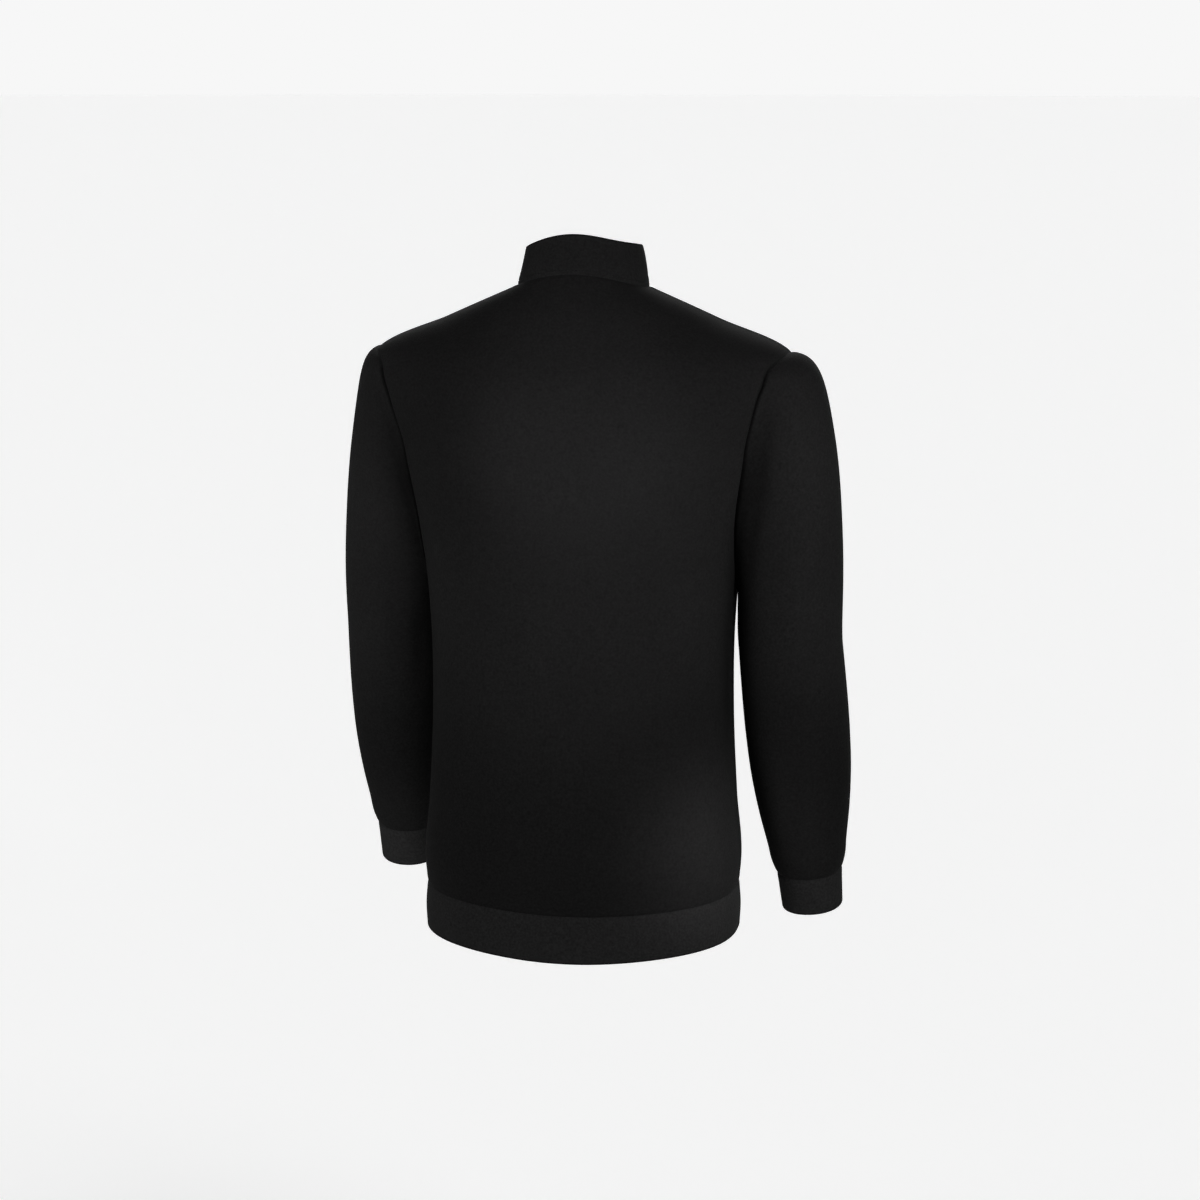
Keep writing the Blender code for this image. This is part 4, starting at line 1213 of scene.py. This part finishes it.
def bumped(tree, height, strength, distance):
    return addNode(tree, "Bump", {"Height": height, "Strength": strength, "Distance": distance})


def grey(value):
    return (value, value, value)


knitFinish = {
    "deep": grey(0.0042),  # painted shade between the wales
    "open": grey(0.0084),  # on them
    "rubbed": grey(0.0094),  # beside the seams
    "roughness": (0.62, 0.76),
    "specular": 0.01,
    "wales": 1000.0,  # in a metre
    "courses": 1150.0,
    "bump": 0.35,
    "unevenness": 0.14,
    "fleckScales": (60.0, 430.0),
    "grain": 0.30,  # light and dark flecks of the yarn
    "seamShadeStrength": 0.50,  # painted shade right in the sewn seams and on the bands' folds
    "tuckShadeStrength": 0.70,  # painted shade where a sleeve lies on the body
}
bandFinish = dict(
    knitFinish, deep=grey(0.0073), open=grey(0.0146), rubbed=grey(0.0156), wales=1080.0
)
# the band knit again, darker on the collar as painted shade
shadedCollarFinish = dict(bandFinish, deep=grey(0.0055), open=grey(0.0109), rubbed=grey(0.0165))


def knitMaterial(name, look):
    finish, tree, shader = newFinish(name)
    shade, height = placeLoops(tree, Wales=look["wales"], Courses=look["courses"])
    slow, fuzz = placeMottle(tree)
    _, flecks = placeMottle(tree, *look["fleckScales"])
    # masks of seam wear with painted seam shade, and of painted shade between sleeve and body
    near = addNode(tree, "Attribute", output="Fac", attribute_name="seamWearAndShade")
    tucked = addNode(tree, "Attribute", output="Fac", attribute_name="tucked")
    knit = between(tree, shade, look["deep"], look["open"])
    rubbed = between(tree, mathNode(tree, "MULTIPLY", near, slow), knit, look["rubbed"])
    uneven = lifted(tree, slow, 1 - look["unevenness"], 1 + look["unevenness"])
    grain = lifted(tree, flecks, 1 - look["grain"] * 2, 1 + look["grain"] * 2)
    # painted shade: darker right in the seams and folds, and where a sleeve lies on the body
    inSeam = mathNode(tree, "POWER", near, 4.0)
    dark = lifted(tree, inSeam, 1.0, 1 - look["seamShadeStrength"])
    under = lifted(tree, tucked, 1.0, 1 - look["tuckShadeStrength"])
    tone = mathNode(
        tree, "MULTIPLY", mathNode(tree, "MULTIPLY", uneven, grain),
        mathNode(tree, "MULTIPLY", dark, under),
    )
    colour = addNode(tree, "VectorMath", {0: rubbed, "Scale": tone}, operation="SCALE")
    pile = mathNode(tree, "MULTIPLY_ADD", fuzz, 0.6, height)
    feed(tree, shader, {
        "Base Color": colour,
        "Roughness": lifted(tree, fuzz, *look["roughness"]),
        "Normal": bumped(tree, pile, look["bump"], 0.00025),
        "Specular IOR Level": look["specular"],
    })
    return finish


tapeFinish = {
    # deep is painted shade between the ribs, open is the yarn on them
    "deep": (0.005, 0.005, 0.0055), "open": (0.014, 0.014, 0.015), "roughness": (0.55, 0.75),
    "specular": 0.3, "ribs": 1250.0, "rows": 900.0, "twill": 2.0, "bump": 0.6,
}


def tapeMaterial(name, look):
    # woven tape: fine ribs along the zip and a slanted twill across them
    finish, tree, shader = newFinish(name)
    weave = {"Wales": look["ribs"], "Courses": look["rows"], "Slant": look["twill"]}
    shade, height = placeLoops(tree, **weave)
    _, fuzz = placeMottle(tree)
    feed(tree, shader, {
        "Base Color": between(tree, shade, look["deep"], look["open"]),
        "Roughness": lifted(tree, fuzz, *look["roughness"]),
        "Normal": bumped(tree, height, look["bump"], 0.0003),
        "Specular IOR Level": look["specular"],
    })
    return finish


hardFinishes = {
    "mouldedPlastic": {
        "low": (0.010, 0.010, 0.011), "high": (0.020, 0.020, 0.022), "rough": (0.42, 0.58),
        "metal": 0.0, "coat": 0.0, "shine": 0.2, "grain": 1500.0,
    },
    "lacqueredMetal": {
        "low": (0.018, 0.018, 0.020), "high": (0.040, 0.040, 0.043), "rough": (0.26, 0.42),
        "metal": 0.6, "coat": 0.25, "shine": 0.4, "grain": 2200.0,
    },
    "sewingThread": {
        "low": grey(0.008), "high": grey(0.022), "rough": (0.60, 0.80),
        "metal": 0.0, "coat": 0.0, "shine": 0.02, "grain": 4000.0,
    },
}


def hardMaterial(name, look):
    finish, tree, shader = newFinish(name)
    slow, fuzz = placeMottle(tree, 120.0, look["grain"])
    feed(tree, shader, {
        "Base Color": between(tree, fuzz, look["low"], look["high"]),
        "Roughness": lifted(tree, slow, *look["rough"]),
        "Normal": bumped(tree, fuzz, 0.25, 0.00005),
        "Metallic": look["metal"],
        "Coat Weight": look["coat"],
        "Specular IOR Level": look["shine"],
    })
    return finish


bodyKnit = knitMaterial("bodyKnit", knitFinish)
bandKnit = knitMaterial("bandKnit", bandFinish)
shadedCollarKnit = knitMaterial("shadedCollarKnit", shadedCollarFinish)
wovenTape = tapeMaterial("wovenTape", tapeFinish)
plastic, metal, thread = (hardMaterial(name, look) for name, look in hardFinishes.items())

# finish and record slot, the CAD node that each piece stands for, and the flat cut of the
# cloth: width and length, its area if smaller, how it is held, and what it hangs from
dressing = {
    (bodyKnit, "body_knit"): {
        "backPanel": ("back", (0.60, 0.74), 0.36, "hung", "standCollar"),
        "frontPanelLeft": ("front_left", (0.31, 0.70), 0.165, "hung", "standCollar"),
        "frontPanelRight": ("front_right", (0.31, 0.70), 0.165, "hung", "standCollar"),
        "sleeveLeft": ("sleeve_left", (0.46, 0.60), 0.19, "hung", "backPanel", "frontPanelLeft"),
        "sleeveRight": (
            "sleeve_right", (0.46, 0.60), 0.19, "hung", "backPanel", "frontPanelRight"
        ),
    },
    (shadedCollarKnit, "band_knit"): {
        "standCollar": ("collar", (0.42, 0.045), None, "folded", "backPanel"),
    },
    (bandKnit, "band_knit"): {
        "hemBand": ("hem_band", (0.95, 0.050), None, "folded", "backPanel"),
        "cuffLeft": ("cuff_left", (0.225, 0.045), None, "folded", "sleeveLeft"),
        "cuffRight": ("cuff_right", (0.225, 0.043), None, "folded", "sleeveRight"),
    },
    (wovenTape, "tape_weave"): {
        "zipTapeLeft": ("zip_tape_left", (0.0125, 0.71), None, "hung", "frontPanelLeft"),
        "zipTapeRight": ("zip_tape_right", (0.0125, 0.71), None, "hung", "frontPanelRight"),
    },
    (plastic, "zip_plastic"): {"zipTeeth": ("zip_chain",), "zipBox": ("zip_box",)},
    (metal, "slider_metal"): {"zipSlider": ("zip_slider",), "pullTab": ("zip_pull",)},
    (thread, "band_knit"): {"collarStitches": (None,)},
    (thread, "body_knit"): {"zipStitches": (None,)},
}
for (finish, slot), dressed in dressing.items():
    for name, (node, *cut) in dressed.items():
        piece = jacket[name]
        piece.data.materials.clear()
        piece.data.materials.append(finish)
        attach(piece, "pull" if name == "pullTab" else "jacket")
        if node:
            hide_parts(node)
print("finishes set on", len(jacket), "pieces")


# pale floor, soft light from above and behind the camera, and the camera
studio = {
    "floorLevel": -1.48,  # as the jacket is worn
    "floorRadius": 80,
    "floor": grey(0.90),
    "floorGlow": 0.425,  # a lit floor, as the camera sees it
    "daylight": 0.21,  # even light from all round
    "backdrop": 0.93,
    # energy, softness in degrees, and where it comes from: azimuth from +X, elevation
    "suns": {
        "backSun": (0.23, 30, 97, 8), "leftSun": (1.13, 30, 50, 10),
        "rightSun": (1.11, 30, 170, 10), "highSun": (0.54, 20, 130, 45),
        "frontSun": (0.97, 40, -83, 12),
    },
    # watts, size, cone in degrees, place, aimed at
    "spots": {
        "bladesSpot": (124, 0.04, 9, (-0.25, 2.1, -0.25), (-0.02, 0.1, -0.135)),
        "backSpot": (61, 0.06, 12, (-0.25, 2.1, -0.1), (0.02, 0.1, -0.28)),
        "waistSpot": (47, 0.06, 10, (-0.35, 2.1, -0.3), (0.0, 0.1, -0.38)),
        "hipSpot": (150, 0.05, 8, (-1.3, 1.3, -0.4), (-0.15, 0.06, -0.57)),
        "leftArmSpot": (84, 0.06, 13, (1.2, 1.5, 0.0), (0.235, -0.05, -0.33)),
        "leftShoulderSpot": (57, 0.05, 9, (1.0, 1.8, 0.1), (0.22, 0.0, -0.16)),
        "rightArmSpot": (100, 0.06, 15, (-1.3, 1.5, 0.1), (-0.235, 0.02, -0.25)),
        "rightShoulderSpot": (33, 0.05, 8, (-1.2, 1.7, 0.3), (-0.235, 0.02, -0.13)),
        "leftCuffSpot": (108, 0.05, 6, (0.5, 2.1, -0.5), (0.215, -0.13, -0.635)),
        "rightCuffSpot": (36, 0.05, 6, (-0.9, 1.9, -0.9), (-0.245, -0.02, -0.67)),
        "leftNeckSpot": (60, 0.15, 8, (1.4, 0.4, 0.6), (0.075, 0.03, -0.01)),
        "rightNeckSpot": (45, 0.15, 8, (-1.4, 0.4, 0.6), (-0.075, 0.03, -0.01)),
        "frontSpot": (280, 0.06, 24, (0.25, -2.1, -0.1), (0.0, -0.1, -0.22)),
    },
}


def paleFloor():
    bpy.ops.object.select_all(action="DESELECT")
    bpy.ops.mesh.primitive_circle_add(
        vertices=96, radius=studio["floorRadius"], fill_type="NGON",
        location=(0, 0, studio["floorLevel"]),
    )
    floor = applyShape()
    floor.name = "studioFloor"
    finish, tree, shader = newFinish("paleFloor")
    where = addNode(tree, "TexCoord", output="Object")
    noise = addNode(tree, "TexNoise", {"Vector": where, "Scale": 3.0}, "Fac")
    low = tuple(0.99 * c for c in studio["floor"])
    eye = addNode(tree, "LightPath", output="Is Camera Ray")
    feed(tree, shader, {
        "Base Color": between(tree, noise, low, studio["floor"]),
        "Roughness": 0.9,
        "Specular IOR Level": 0.0,
        "Emission Color": (1, 1, 1, 1),
        "Emission Strength": mathNode(tree, "MULTIPLY", eye, studio["floorGlow"]),
    })
    floor.data.materials.append(finish)


def studioRoom():
    # the camera sees a bright backdrop, and the jacket a weaker even light
    world = bpy.data.worlds.new("studioRoom")
    bpy.context.scene.world = world
    world.use_nodes = True
    tree = world.node_tree
    tree.nodes.clear()
    even, seen = (
        addNode(tree, "Background", {"Strength": studio[key], "Color": (1, 1, 1, 1)})
        for key in ("daylight", "backdrop")
    )
    eye = addNode(tree, "LightPath", output="Is Camera Ray")
    addNode(tree, "OutputWorld", {0: addNode(tree, "MixShader", {0: eye, 1: even, 2: seen})})


def addLight(name, kind, place, target, **settings):
    light = bpy.data.lights.new(name, kind)
    for key, value in settings.items():
        setattr(light, key, value)
    lamp = linkNew(name, light)
    lamp.location = place
    away = Vector(place) - Vector(target)
    lamp.rotation_euler = away.to_track_quat("Z", "Y").to_euler()
    return lamp


def studioLights():
    for name, (energy, soft, azimuth, elevation) in studio["suns"].items():
        a, e = math.radians(azimuth), math.radians(elevation)
        place = (3 * math.cos(a) * math.cos(e), 3 * math.sin(a) * math.cos(e), 3 * math.sin(e))
        addLight(name, "SUN", place, (0, 0, 0), energy=energy, angle=math.radians(soft))
    for name, (power, size, cone, place, target) in studio["spots"].items():
        spot = addLight(
            name, "SPOT", place, target, energy=power, shadow_soft_size=size,
            spot_size=math.radians(cone), spot_blend=1.0,
        )
        spot.visible_camera = False


cameraSet = {
    "turned": 10.0,  # degrees from straight behind, towards the right arm
    "distance": 3.2,
    "height": 0.26,
    "pitch": 10.44,
    "yaw": 0.30,
    "pixelsPerUnit": 3104.0,  # at the 1200 pixel frame
    "sensor": 36,
}


def turnedBy(degrees, axis):
    return Matrix.Rotation(math.radians(degrees), 4, axis)


def setCamera():
    lens = bpy.data.cameras.new("studioCamera")
    lens.sensor_width = cameraSet["sensor"]
    lens.lens = cameraSet["sensor"] * cameraSet["pixelsPerUnit"] / 1200
    lens.clip_end = 300
    camera = linkNew("studioCamera", lens)
    place = Matrix.Translation((0, cameraSet["distance"], cameraSet["height"]))
    look = turnedBy(180, "Z") @ turnedBy(90 - cameraSet["pitch"], "X")
    look = look @ turnedBy(-cameraSet["yaw"], "Y")
    camera.matrix_world = turnedBy(cameraSet["turned"], "Z") @ place @ look
    bpy.context.scene.camera = camera


bpy.context.scene.view_settings.view_transform = "Standard"
paleFloor()
studioRoom()
studioLights()
setCamera()
print("studio lit and camera set")
